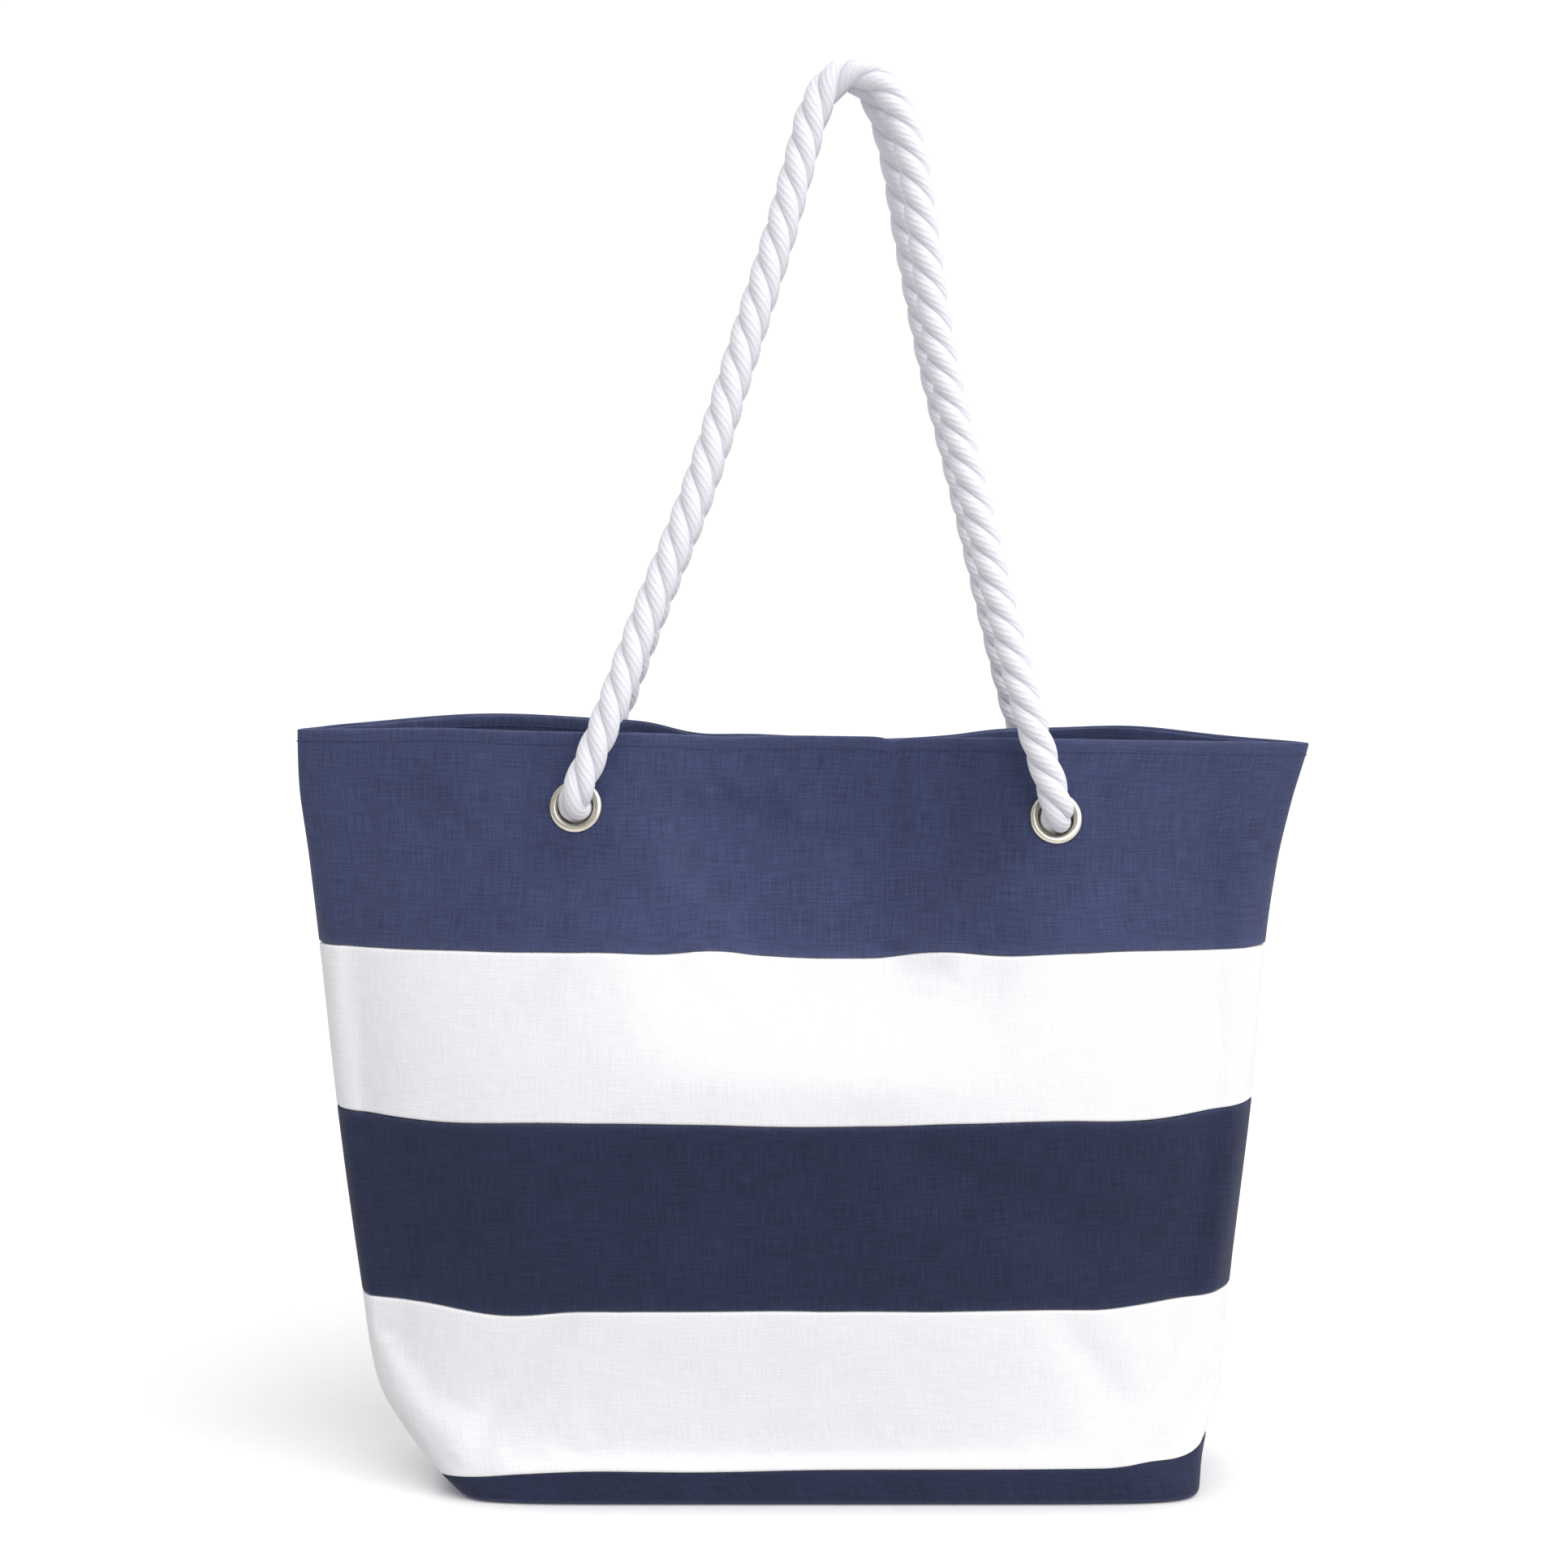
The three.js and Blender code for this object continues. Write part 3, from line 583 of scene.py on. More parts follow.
# The seams of the front wander a little: x, z, width, height and rise of each stretch that moves
seamWaves = [
    (0.030, 0.282, 0.075, 0.030, -0.0042), (-0.105, 0.282, 0.030, 0.025, 0.0013),
    (-0.185, 0.198, 0.045, 0.030, -0.0030), (0.185, 0.198, 0.035, 0.030, -0.0026),
    (-0.155, 0.102, 0.032, 0.030, -0.0044), (0.000, 0.102, 0.060, 0.030, 0.0012),
    (0.155, 0.102, 0.030, 0.030, -0.0016), (-0.165, 0.0185, 0.040, 0.022, -0.0058),
    (-0.060, 0.0185, 0.050, 0.022, -0.0018), (0.198, 0.027, 0.018, 0.022, -0.0058),
]
softSetup = {
    "probe": 0.004, "probeUp": 0.002,       # steps that find which way the cloth faces
    "calmSide": 0.08, "calmFoot": 0.03,     # folds fade out at the side seams and at the base
    "rimStart": 0.30, "rimFade": 0.085,     # heights over which the rim's waves set in
    # the rim's corners flare out
    "flare": {-1: -0.0030, 1: 0.0042}, "flareFrom": 0.320, "flarePlace": 0.55, "flareFade": 0.45,
}
slackTable = {}  # what the cloth simulation moved on each side, by height and place


# The outward way of the cloth at each point
def facingAt(side, place, height):
    step, rise = softSetup["probe"], softSetup["probeUp"]
    ahead = stillPoint(side, np.clip(place + step, -1, 1), height, 0)
    before = stillPoint(side, np.clip(place - step, -1, 1), height, 0)
    above = stillPoint(side, place, height + rise, 0)
    below = stillPoint(side, place, np.maximum(height - rise, 0), 0)
    facing = unit(np.cross(ahead - before, above - below)) * -side
    return facing * np.sign(facing[..., 1:2] * side + 1e-9)


# How far a fold, an eyelet or the slack of the cloth moves each point of a panel
def softMove(side, place, height):
    place, height = np.broadcast_arrays(np.asarray(place, float), np.asarray(height, float))
    point = stillPoint(side, place, height, 0)
    pointX, pointZ = point[..., 0], point[..., 2]
    amount = np.zeros(place.shape)
    for own, x, z, lean, long, wide, rise in folds:
        if own == side:
            dx, dz, turn = pointX - x, pointZ - z, math.radians(lean)
            along = dx * math.sin(turn) + dz * math.cos(turn)
            across = dx * math.cos(turn) - dz * math.sin(turn)
            amount += rise * np.exp(-(across / wide) ** 2 - (along / long) ** 4)
    calm = smooth((1 - np.abs(place)) / softSetup["calmSide"]) * smooth(height / softSetup["calmFoot"])
    move = facingAt(side, place, height) * (amount * calm)[..., None]
    lift = sum(rise * np.exp(-((pointX - x) / wide) ** 2) for own, x, wide, rise in rimWaves if own == side)
    move[..., 2] += lift * calm * smooth((height - softSetup["rimStart"]) / softSetup["rimFade"])
    for x, z, wide, tall, rise in seamWaves if side < 0 else []:
        move[..., 2] += rise * np.exp(-((pointX - x) / wide) ** 2 - ((pointZ - z) / tall) ** 2) * calm
    flare = np.where(place < 0, softSetup["flare"][-1], softSetup["flare"][1])
    flare = flare * smooth((np.abs(place) - softSetup["flarePlace"]) / softSetup["flareFade"])
    low = softSetup["flareFrom"]
    move[..., 0] += flare * smooth((height - low) / (bag["rimHeight"] - low))
    if side in slackTable:
        move = move + np.stack([lookUp(slackTable[side][k], height, place) for k in range(3)], axis=-1)
    for end in ends:
        over, away = fromEyelet(point + move, side, end)
        outside = (np.linalg.norm(away, axis=-1) - eyeletSetup["flatRadius"]) / eyeletSetup["flatFade"]
        near = (1 - smooth(outside)) * (np.abs(over) < eyeletSetup["reach"])
        move = move + eyelets[side, end][1] * ((eyeletSetup["seat"] - over) * near)[..., None]
    return move


def layerPoint(side, place, height, inset):
    return stillPoint(side, place, height, inset) + softMove(side, place, height)


# The wall stands a little slack between its rim and its base, and the simulation lets it sag and crease
slackSetup = {
    "spare": 0.0012, "frames": 26, "cap": 0.0060, "rows": 58, "columns": 81, "leastHalf": 0.0042,
    # held still above and below two heights and round the eyelets and the snap, each with its fade
    "rim": (0.374, 0.006), "foot": (0.024, 0.008), "eyelet": (0.016, 0.008), "snap": (0.012, 0.01),
    "leastHold": 0.01,
}
slackCloth = {
    "quality": 6, "mass": 0.3, "air_damping": 2.0, "tension_stiffness": 30, "compression_stiffness": 30,
    "shear_stiffness": 15, "bending_stiffness": 1.2, "shrink_min": -slackSetup["spare"],
}
slackGravity = 0.3


# How firmly each point of the wall is held, from 0 to 1
def heldShares(points):
    rim, foot, around, snap = (slackSetup[key] for key in ("rim", "foot", "eyelet", "snap"))
    hold = np.maximum(smooth((points[:, 2] - rim[0]) / rim[1]), smooth((foot[0] - points[:, 2]) / foot[1]))
    for centre, axis in eyelets.values():
        away = np.linalg.norm(points - centre, axis=1)
        hold = np.maximum(hold, 1 - smooth((away - around[0]) / around[1]))
    fromSnap = np.hypot(points[:, 0] - bag["pinch"]["x"], points[:, 2] - snapHeight)
    return np.maximum(hold, 1 - smooth((fromSnap - snap[0]) / snap[1]))


def simulateSlack():
    scene = bpy.context.scene
    columns = slackSetup["columns"]
    places = np.linspace(-1, 1, columns)
    sides = [(-1, places), (1, places[-2:0:-1])]
    rows = [np.concatenate([layerPoint(side, own, np.full(len(own), height), 0) for side, own in sides])
            for height in np.linspace(0, tableHeights[-1], slackSetup["rows"])]
    points = np.concatenate(rows)
    wide = len(rows[0])
    faces = [(r * wide + c, r * wide + (c + 1) % wide, (r + 1) * wide + (c + 1) % wide, (r + 1) * wide + c)
             for r in range(len(rows) - 1) for c in range(wide)]
    mesh = bpy.data.meshes.new("slackWall")
    mesh.from_pydata([tuple(p) for p in points], [], faces)
    wall = placeObject("slackWall", mesh)
    hold = heldShares(points)
    held = wall.vertex_groups.new(name="held")
    for i in np.flatnonzero(hold > slackSetup["leastHold"]):
        held.add([int(i)], float(hold[i]), "REPLACE")
    cloth = wall.modifiers.new("cloth", "CLOTH")
    cloth.point_cache.frame_end = slackSetup["frames"]
    for name, value in slackCloth.items():
        setattr(cloth.settings, name, value)
    cloth.settings.vertex_group_mass = "held"
    cloth.settings.effector_weights.gravity = slackGravity
    cloth.collision_settings.use_collision = False
    for number in range(1, slackSetup["frames"] + 1):
        scene.frame_set(number)
    moved = np.zeros(3 * len(points))
    wall.evaluated_get(bpy.context.evaluated_depsgraph_get()).data.vertices.foreach_get("co", moved)
    scene.frame_set(1)
    move = moved.reshape(-1, 3) - points
    size = np.linalg.norm(move, axis=1, keepdims=True)
    print("the cloth simulation moved the wall by up to", round(float(size.max()) * 1000, 2), "mm")
    move = move * slackSetup["cap"] * np.tanh(size / slackSetup["cap"]) / np.maximum(size, 1e-9)
    # the front and the back never come closer than their layers allow
    least = slackSetup["leastHalf"] - np.abs(points[:, 1])
    facing = np.sign(points[:, 1])
    inwards = np.minimum(move[:, 1] * facing, 0)
    move[:, 1] += (np.maximum(inwards, np.minimum(least, 0)) - inwards) * facing
    move = move.reshape(len(rows), wide, 3)
    behind = np.concatenate([move[:, columns - 1:], move[:, :1]], axis=1)[:, ::-1]
    for side, own in ((-1, move[:, :columns]), (1, behind)):
        slackTable[side] = [own[:, :, k] for k in range(3)]
    bpy.data.objects.remove(wall)


simulateSlack()
print("cloth simulated")


# Cloth materials

# Plain-woven cotton: matt, with slightly uneven threads both ways, a little fluff and paler worn edges.
# Its noises are 70 mm patches of fading, 6 mm rubs at the edges and 30 mm soft creases.
def wovenCotton(name, look):
    material, tree, shader = newMaterial(name)
    cloth = addNode(tree, "ShaderNodeUVMap", uv_map="cloth")
    place = addNode(tree, "ShaderNodeTexCoord").outputs["Object"]
    turns = 2 * math.pi / (2 * look["thread"])
    weavePlace = addNode(tree, "ShaderNodeMapping", {"Vector": cloth, "Scale": (turns, turns, 1.0)})
    weaveWave = addNode(tree, "ShaderNodeVectorMath", {0: weavePlace}, operation="SINE")
    weaveAxes = addNode(tree, "ShaderNodeSeparateXYZ", {0: weaveWave})
    weave = addNode(tree, "ShaderNodeMath", {0: weaveAxes, 1: weaveAxes.outputs[1]}, operation="MULTIPLY")
    across, along = 1 / look["thread"], 1 / look["slub"]
    warpPlace = addNode(tree, "ShaderNodeMapping", {"Vector": cloth, "Scale": (across, along, 1.0)})
    weftPlace = addNode(tree, "ShaderNodeMapping", {
        "Vector": cloth, "Scale": (along, across, 1.0), "Location": (3.1, 7.7, 0.0)})
    warp, weft = [addNode(tree, "ShaderNodeTexNoise", {"Vector": own, "Scale": 1.0, "Detail": 2.0})
                  for own in (warpPlace, weftPlace)]
    threads = addNode(tree, "ShaderNodeMath", {0: warp, 1: weft}, operation="ADD")
    fineTone = addNode(tree, "ShaderNodeMath", {
        0: weave, 1: look["weaveTone"], 2: threads}, operation="MULTIPLY_ADD")
    patches = addNode(tree, "ShaderNodeTexNoise", {
        "Vector": place, "Scale": 14.0, "Detail": 4.0, "Roughness": 0.6})
    tone = addNode(tree, "ShaderNodeMath", {
        0: patches, 1: look["patches"], 2: fineTone}, operation="MULTIPLY_ADD")
    share = addNode(tree, "ShaderNodeMapRange", {
        "Value": tone, "From Min": 0.55 + look["patches"] / 2, "From Max": 1.45 + look["patches"] / 2})
    base = addNode(tree, "ShaderNodeMix", {
        0: share, 6: linearColour(look["dark"]), 7: linearColour(look["light"])}, data_type="RGBA")
    edge = addNode(tree, "ShaderNodeAttribute", attribute_name="edge")
    rub = addNode(tree, "ShaderNodeTexNoise", {"Vector": place, "Scale": 160.0, "Detail": 2.0})
    rubbed = addNode(tree, "ShaderNodeMath", {0: edge.outputs["Fac"], 1: rub}, operation="MULTIPLY")
    worn = addNode(tree, "ShaderNodeMath", {0: rubbed, 1: look["wear"]}, operation="MULTIPLY")
    colour = addNode(tree, "ShaderNodeMix", {
        0: worn, 6: base.outputs[2], 7: linearColour(look["worn"])}, data_type="RGBA")
    relief = addNode(tree, "ShaderNodeMath", {0: weave, 1: 0.45, 2: threads}, operation="MULTIPLY_ADD")
    threadBump = addNode(tree, "ShaderNodeBump", {
        "Height": relief, "Strength": look["bump"], "Distance": 0.0004})
    creases = addNode(tree, "ShaderNodeTexNoise", {"Vector": place, "Scale": 34.0, "Detail": 3.0})
    creaseBump = addNode(tree, "ShaderNodeBump", {
        "Height": creases, "Strength": 0.35, "Distance": 0.0022, "Normal": threadBump})
    setInputs(shader, {"Base Color": colour.outputs[2], "Normal": creaseBump, "Roughness": 0.92,
                       "Specular IOR Level": look["gloss"], "Sheen Weight": look["sheen"],
                       "Sheen Roughness": 0.5})
    return material


# Canvas has about 0.6 mm between threads and lining 0.4 mm; both are drawn coarser, so that the weave shows
canvasWeave = {"thread": 0.00085, "slub": 0.016, "weaveTone": 0.16, "patches": 0.5, "wear": 0.5, "bump": 0.5}
navyCanvas = wovenCotton("dyed navy cotton canvas", {
    **canvasWeave, "dark": "#2a2f4b", "light": "#464e75", "worn": "#6d7697", "gloss": 0.3, "sheen": 0.12})
# The same cloth, darker: painted shade for the middle navy stripe and the base, which face down and get less
# light
shadedNavyCanvas = wovenCotton("navy cotton canvas with painted shade", {
    **canvasWeave, "wear": 0.4,
    "dark": "#1b1f34", "light": "#2f3552", "worn": "#5a6284", "gloss": 0.25, "sheen": 0.08})
whiteCanvas = wovenCotton("bleached cotton canvas", {
    **canvasWeave, "patches": 0.3, "bump": 0.35,
    "dark": "#e6e6ea", "light": "#f4f4f7", "worn": "#fdfdff", "gloss": 0.3, "sheen": 0.06})
liningCotton = wovenCotton("unbleached cotton lining", {
    "thread": 0.0007, "slub": 0.010, "weaveTone": 0.12, "patches": 0.4, "wear": 0.3, "bump": 0.3,
    "dark": "#ddd7c8", "light": "#efeae0", "worn": "#f6f2ea", "gloss": 0.3, "sheen": 0.08})
print("cloth materials made")

# Cloth panels

# cutHeight is where a panel's width is measured; close are the steps in from each edge, up to edgeWidth
panelSetup = {
    "pitch": 0.0030, "roll": 0.0011, "rollShare": 0.6, "holeRadius": 0.0101, "wornWidth": 0.0016,
    "cutHeight": 0.25, "close": [0, 0.0004, 0.0009, 0.0018], "edgeWidth": 0.0036,
}
pocketSetup = {"foot": 0.150, "half": 1 / 3, "thickness": 0.001, "slack": 0.003}


# Distances from 0 to a length, close together at both ends, where the cloth rolls under
def edgedSteps(length, pitch=panelSetup["pitch"]):
    close, wide = np.array(panelSetup["close"]), panelSetup["edgeWidth"]
    count = max(2, int(round((length - 2 * wide) / pitch)))
    return np.concatenate([close, np.linspace(wide, length - wide, count + 1), length - close[::-1]])


def rollAt(distance, radius):
    u = np.clip(1 - distance / radius, 0, 1)
    return radius * (1 - np.sqrt(1 - u * u))


# A closed sheet of cloth between two grids of points; cells that aren't kept are left open
def clothMesh(name, side, outer, inner, uv, edge, material, kept=None):
    rows, wide = outer.shape[:2]
    kept = np.ones((rows - 1, wide - 1), bool) if kept is None else kept
    points = np.concatenate([outer.reshape(-1, 3), inner.reshape(-1, 3)])
    half = rows * wide
    cornerUv = uv.reshape(-1, 2)
    faces, uvs = [], []

    def addFace(*corners):
        corners = corners[::-1] if side > 0 else corners
        faces.append(corners)
        uvs.extend(cornerUv[k % half] for k in corners)

    padded = np.pad(kept, 1)
    for r, c in np.argwhere(kept):
        a, b = r * wide + c, r * wide + c + 1
        d, e = a + wide, b + wide
        addFace(a, b, e, d)
        addFace(half + a, half + d, half + e, half + b)
        for dr, dc, first, last in ((0, 1, b, a), (2, 1, d, e), (1, 0, a, d), (1, 2, e, b)):
            if not padded[r + dr, c + dc]:
                addFace(first, last, half + last, half + first)
    used = np.unique(np.concatenate([np.array(face) for face in faces]))
    slots = np.zeros(len(points), int)
    slots[used] = np.arange(len(used))
    edges = np.concatenate([edge.ravel(), edge.ravel()])[used]
    renamed = [tuple(int(slots[k]) for k in face) for face in faces]
    return addObject(name, points[used], renamed, material, uvs, {"edge": edges}, smoothAngle=50)


# A panel between two levels, with its width and height before sewing. push moves it inwards near the
# eyelets, and a rim is rounded on both faces.
def panelMesh(name, side, lower, upper, inset, thickness, material, span=(-1, 1), rim=False, push=0, slack=0):
    widest = float(np.interp(panelSetup["cutHeight"], tableHeights, panelWidths)) * (span[1] - span[0]) / 2
    tall = float((upper(side, np.zeros(1)) - lower(side, np.zeros(1)))[0])
    across, up = edgedSteps(widest), edgedSteps(tall)
    places, shares = np.meshgrid(span[0] + (span[1] - span[0]) * across / widest, up / tall)
    low, high = lower(side, places) + bag["gap"] / 2, upper(side, places)
    heights = low + (high - bag["gap"] / 2 * (not rim) - low) * shares
    toSide = np.minimum(across, widest - across)[None, :]
    fromFoot, fromTop = up[:, None], (tall - up)[:, None]
    topRoll = rollAt(fromTop, thickness / 2 if rim else panelSetup["roll"])
    roll = np.maximum(rollAt(toSide, panelSetup["roll"]), rollAt(fromFoot, panelSetup["roll"]))
    roll = np.minimum(np.maximum(roll, topRoll), thickness * panelSetup["rollShare"])
    bulge = slack * np.sin(np.pi * np.linspace(0, 1, len(across)))[None, :] * smooth(shares) ** 2
    outer = layerPoint(side, places, heights, inset + roll + bulge)
    inner = layerPoint(side, places, heights, inset + thickness + bulge - (topRoll if rim else 0))
    kept = np.ones((len(up) - 1, len(across) - 1), bool)
    for end in ends:
        for grid in (outer, inner):
            over, away = fromEyelet(grid, side, end)
            outside = (np.linalg.norm(away, axis=-1) - eyeletSetup["flangeRadius"]) / eyeletSetup["pushFade"]
            pushed = push * (1 - smooth(outside)) * (np.abs(over) < eyeletSetup["reach"])
            grid -= pushed[..., None] * eyelets[side, end][1]
        over, away = fromEyelet(outer, side, end)
        bare = np.linalg.norm(away, axis=-1) < panelSetup["holeRadius"]
        bare &= np.abs(over) < eyeletSetup["reach"]
        if not bare.any():
            continue
        holed = bare[:-1, :-1] | bare[1:, :-1] | bare[:-1, 1:] | bare[1:, 1:]
        kept &= ~holed
        # the points left at the hole's edge move onto its circle
        onEdge = np.zeros(bare.shape, bool)
        for dr in (0, 1):
            for dc in (0, 1):
                onEdge[dr:len(up) - 1 + dr, dc:len(across) - 1 + dc] |= holed
        onEdge &= ~bare
        for grid in (outer, inner):
            away = fromEyelet(grid, side, end)[1]
            grid[onEdge] += (unit(away) * panelSetup["holeRadius"] - away)[onEdge]
    uv = np.stack([places * np.interp(heights, tableHeights, panelWidths) / 2, heights], axis=-1)
    toEdge = np.minimum(np.minimum(fromFoot, fromTop), toSide)
    worn = np.exp(-toEdge / panelSetup["wornWidth"])
    return clothMesh(name, side, outer, inner, uv, worn, material, kept), (widest, tall)


baseTop, lowerWhiteTop, navyTop, upperWhiteTop = [seamLevel(name) for name in seams]
facingFoot = underRim(bag["facingDepth"])

# name, node, slot, lower and upper level and cloth of each stripe
stripes = [
    ("TopBand", "_top_band", "navy_canvas", upperWhiteTop, rimLevel, navyCanvas),
    ("UpperWhiteBand", "_upper_white_band", "white_canvas", navyTop, upperWhiteTop, whiteCanvas),
    # the middle navy stripe takes the darker navy cloth: painted shade
    ("NavyBand", "_middle_navy_band", "navy_canvas", lowerWhiteTop, navyTop, shadedNavyCanvas),
    ("LowerWhiteBand", "_lower_white_band", "white_canvas", baseTop, lowerWhiteTop, whiteCanvas),
]
for side, name in sideNames.items():
    for stripe, node, slotName, lower, upper, cloth in stripes:
        made, flat = panelMesh(name + stripe, side, lower, upper, 0, bag["canvas"], cloth,
                               rim=upper is rimLevel)
        bagPieces.append((made, name + node, slotName, flat))
    made, flat = panelMesh(name + "Facing", side, facingFoot, underRim(bag["foldStep"]), underCanvas,
                           bag["facing"], navyCanvas, rim=True, push=eyeletSetup["washerStandOff"])
    bagPieces.append((made, name + "_facing", "navy_canvas", flat))
made, flat = panelMesh("pocket", 1, flatLevel(pocketSetup["foot"]), upperWhiteTop, innerFace + bag["gap"],
                       pocketSetup["thickness"], liningCotton,
                       span=(-pocketSetup["half"], pocketSetup["half"]), slack=pocketSetup["slack"])
bagPieces.append((made, "inner_pocket", "lining_cloth", flat))
print("stripes, facings and pocket made")

# Lining: each half is a wall with its share of the floor
liningSetup = {
    "columns": 181, "floorRows": 13, "wallRows": 59, "turnRows": 6, "rise": 0.003, "tuck": 0.0024,
    "weaveLift": 0.06, "flat": (0.55, 0.39),  # weaveLift keeps the wall's weave clear of the floor's
}


def liningMesh(name, side):
    places = np.linspace(-1, 1, liningSetup["columns"])
    tuck, rise = liningSetup["tuck"], liningSetup["rise"]
    middle = side * bag["gap"] / 2
    layers = [(underCanvas, []), (underCanvas + bag["lining"], [])]
    outerRows, innerRows = layers[0][1], layers[1][1]
    uvRows = []
    for share in np.linspace(0, 1, liningSetup["floorRows"] + 1)[:-1]:
        for inset, rows in layers:
            edge = stillPoint(side, places, underCanvas, inset + tuck)
            edge[:, 1] = middle + (edge[:, 1] - middle) * share
            edge[:, 2] = inset
            rows.append(edge)
        uvRows.append(outerRows[-1][:, :2])
    # the turn up from the floor, then the wall: rise, tuck and share of the way to the facing
    turn = [(rise * (1 - math.cos(a)), tuck * (1 - math.sin(a)), 0)
            for a in np.linspace(0, math.pi / 2, liningSetup["turnRows"])]
    wall = [(rise, 0, share) for share in np.linspace(0, 1, liningSetup["wallRows"] + 1)[1:]]
    top = facingFoot(side, places) - bag["gap"] / 2
    for up, tucked, share in turn + wall:
        for inset, rows in layers:
            height = inset + up + (top - inset - rise) * share
            rows.append(layerPoint(side, places, height, inset + tucked))
        heights = outerRows[-1][:, 2]
        widths = np.interp(heights, tableHeights, panelWidths)
        uvRows.append(np.stack([places * widths / 2, heights + liningSetup["weaveLift"]], axis=-1))
    outer, inner = np.array(outerRows), np.array(innerRows)
    edge = np.zeros(outer.shape[:2])
    edge[-1] = 1
    return clothMesh(name, side, outer, inner, np.array(uvRows), edge, liningCotton)


for side, name in sideNames.items():
    made = liningMesh(name + "Lining", side)
    bagPieces.append((made, name + "_lining", "lining_cloth", liningSetup["flat"]))

# Navy base: the lowest stripe and the bottom in one shallow tray
baseSetup = {
    "pitch": 0.006, "tuck": 0.003, "innerTuck": 0.0024, "innerRise": 1.2, "turnRows": 6, "flat": (0.44, 0.19),
    "bottom": [0.04, 0.15, 0.3, 0.45, 0.6, 0.75, 0.87, 0.95],      # shares of the way out from the middle
    "wall": [0.2, 0.4, 0.6, 0.8, 0.92], "inside": [1, 0.75, 0.5, 0.25],  # shares of the way up the wall
    "edge": [0.0009, 0.0004, 0.0], "edgeHeight": 0.0155, "edgeRoll": 0.8, "halfRound": 0.27, "worn": 0.8,
}


def baseMesh(name):
    places = edgedSteps(1.0, baseSetup["pitch"]) * 2 - 1
    tuck, innerTuck, thick = baseSetup["tuck"], baseSetup["innerTuck"], bag["canvas"]
    bottom, count = baseSetup["bottom"], 2 * len(places)
    centre = np.array([outline["shift"][0], 0])

    def ring(level, inset, share=1, soft=True):
        points = []
        for side, own in ((-1, places), (1, places[::-1])):
            height = np.broadcast_to(level(side, own), own.shape)
            still = stillPoint(side, own, height, inset)
            points.append(still + softMove(side, own, height) if soft else still)
        points = np.concatenate(points)
        points[:, :2] = centre + (points[:, :2] - centre) * share
        return points

    def wall(share):
        return lambda side, place: tuck + (baseTop(side, place) - bag["gap"] / 2 - tuck) * share

    quarter = np.linspace(0, math.pi / 2, baseSetup["turnRows"])
    rings = [ring(flatLevel(0), tuck, share, False) for share in bottom]
    rings += [ring(flatLevel(tuck * (1 - math.cos(a))), tuck * (1 - math.sin(a)), 1, False) for a in quarter]
    rings += [ring(wall(share), 0) for share in baseSetup["wall"]]
    rings += [ring(wall(1 - d / baseSetup["edgeHeight"]),
                   float(rollAt(np.array(d), panelSetup["roll"])) * baseSetup["edgeRoll"])
              for d in baseSetup["edge"]]
    outerCount = len(rings)
    rings += [ring(wall(share), thick) for share in baseSetup["inside"]]
    rings += [ring(flatLevel(thick + innerTuck * (1 - math.cos(a)) * baseSetup["innerRise"]),
                   thick + innerTuck * (1 - math.sin(a)), 1, False) for a in quarter[::-1]]
    rings += [ring(flatLevel(thick), thick + innerTuck, share, False) for share in bottom[::-1]]
    points = np.concatenate([*rings, [(*centre, 0)], [(*centre, thick)]])
    half, turned = baseSetup["halfRound"], baseSetup["turnRows"] // 2
    run = np.concatenate([places * half, 2 * half - places[::-1] * half, [3 * half]])
    faces, uvs = [], []
    for i in range(len(rings) - 1):
        flat = i < len(bottom) + turned or i > outerCount + len(baseSetup["inside"]) + turned
        for k in range(count):
            after = (k + 1) % count
            face = (i * count + k, i * count + after, (i + 1) * count + after, (i + 1) * count + k)
            faces.append(face)
            if flat:
                uvs += [tuple(points[v][:2]) for v in face]
            else:
                uvs += [(run[j], points[v][2]) for j, v in zip((k, k + 1, k + 1, k), face)]
    last = (len(rings) - 1) * count
    for k in range(count):
        after = (k + 1) % count
        for face in ((after, k, len(points) - 2), (last + k, last + after, len(points) - 1)):
            faces.append(face)
            uvs += [tuple(points[v][:2]) for v in face]
    edge = np.zeros(len(points))
    for i in (len(bottom) + turned, len(bottom) + turned + 1, outerCount - 1):
        edge[i * count:(i + 1) * count] = baseSetup["worn"]
    # the base takes the darker navy cloth: painted shade
    return addObject(name, points, faces, shadedNavyCanvas, uvs, {"edge": edge}, smoothAngle=50)


bagPieces.append((baseMesh("base"), "base_band", "navy_canvas", baseSetup["flat"]))
print("lining and base made")

# Metal parts

# A plated and finished metal: fine marks change its gloss and relief, and slower stains its colour
def finishedMetal(name, look):
    material, tree, shader = newMaterial(name)
    place = addNode(tree, "ShaderNodeTexCoord").outputs["Object"]
    marks, stains = [addNode(tree, "ShaderNodeTexNoise", {
        "Vector": addNode(tree, "ShaderNodeMapping", {"Vector": place, "Scale": scale}),
        "Scale": 1.0, "Detail": detail}) for scale, detail in (look["marks"], look["stains"])]
    gloss = addNode(tree, "ShaderNodeMapRange", {
        "Value": marks, "To Min": look["gloss"][0], "To Max": look["gloss"][1]})
    tone = addNode(tree, "ShaderNodeMix", {
        0: stains, 6: linearColour(look["dark"]), 7: linearColour(look["light"])}, data_type="RGBA")
    bump = addNode(tree, "ShaderNodeBump", {"Height": marks, "Strength": look["bump"], "Distance": 0.0001})
    setInputs(shader, {"Base Color": tone.outputs[2], "Roughness": gloss, "Normal": bump, "Metallic": 1.0})
    return material


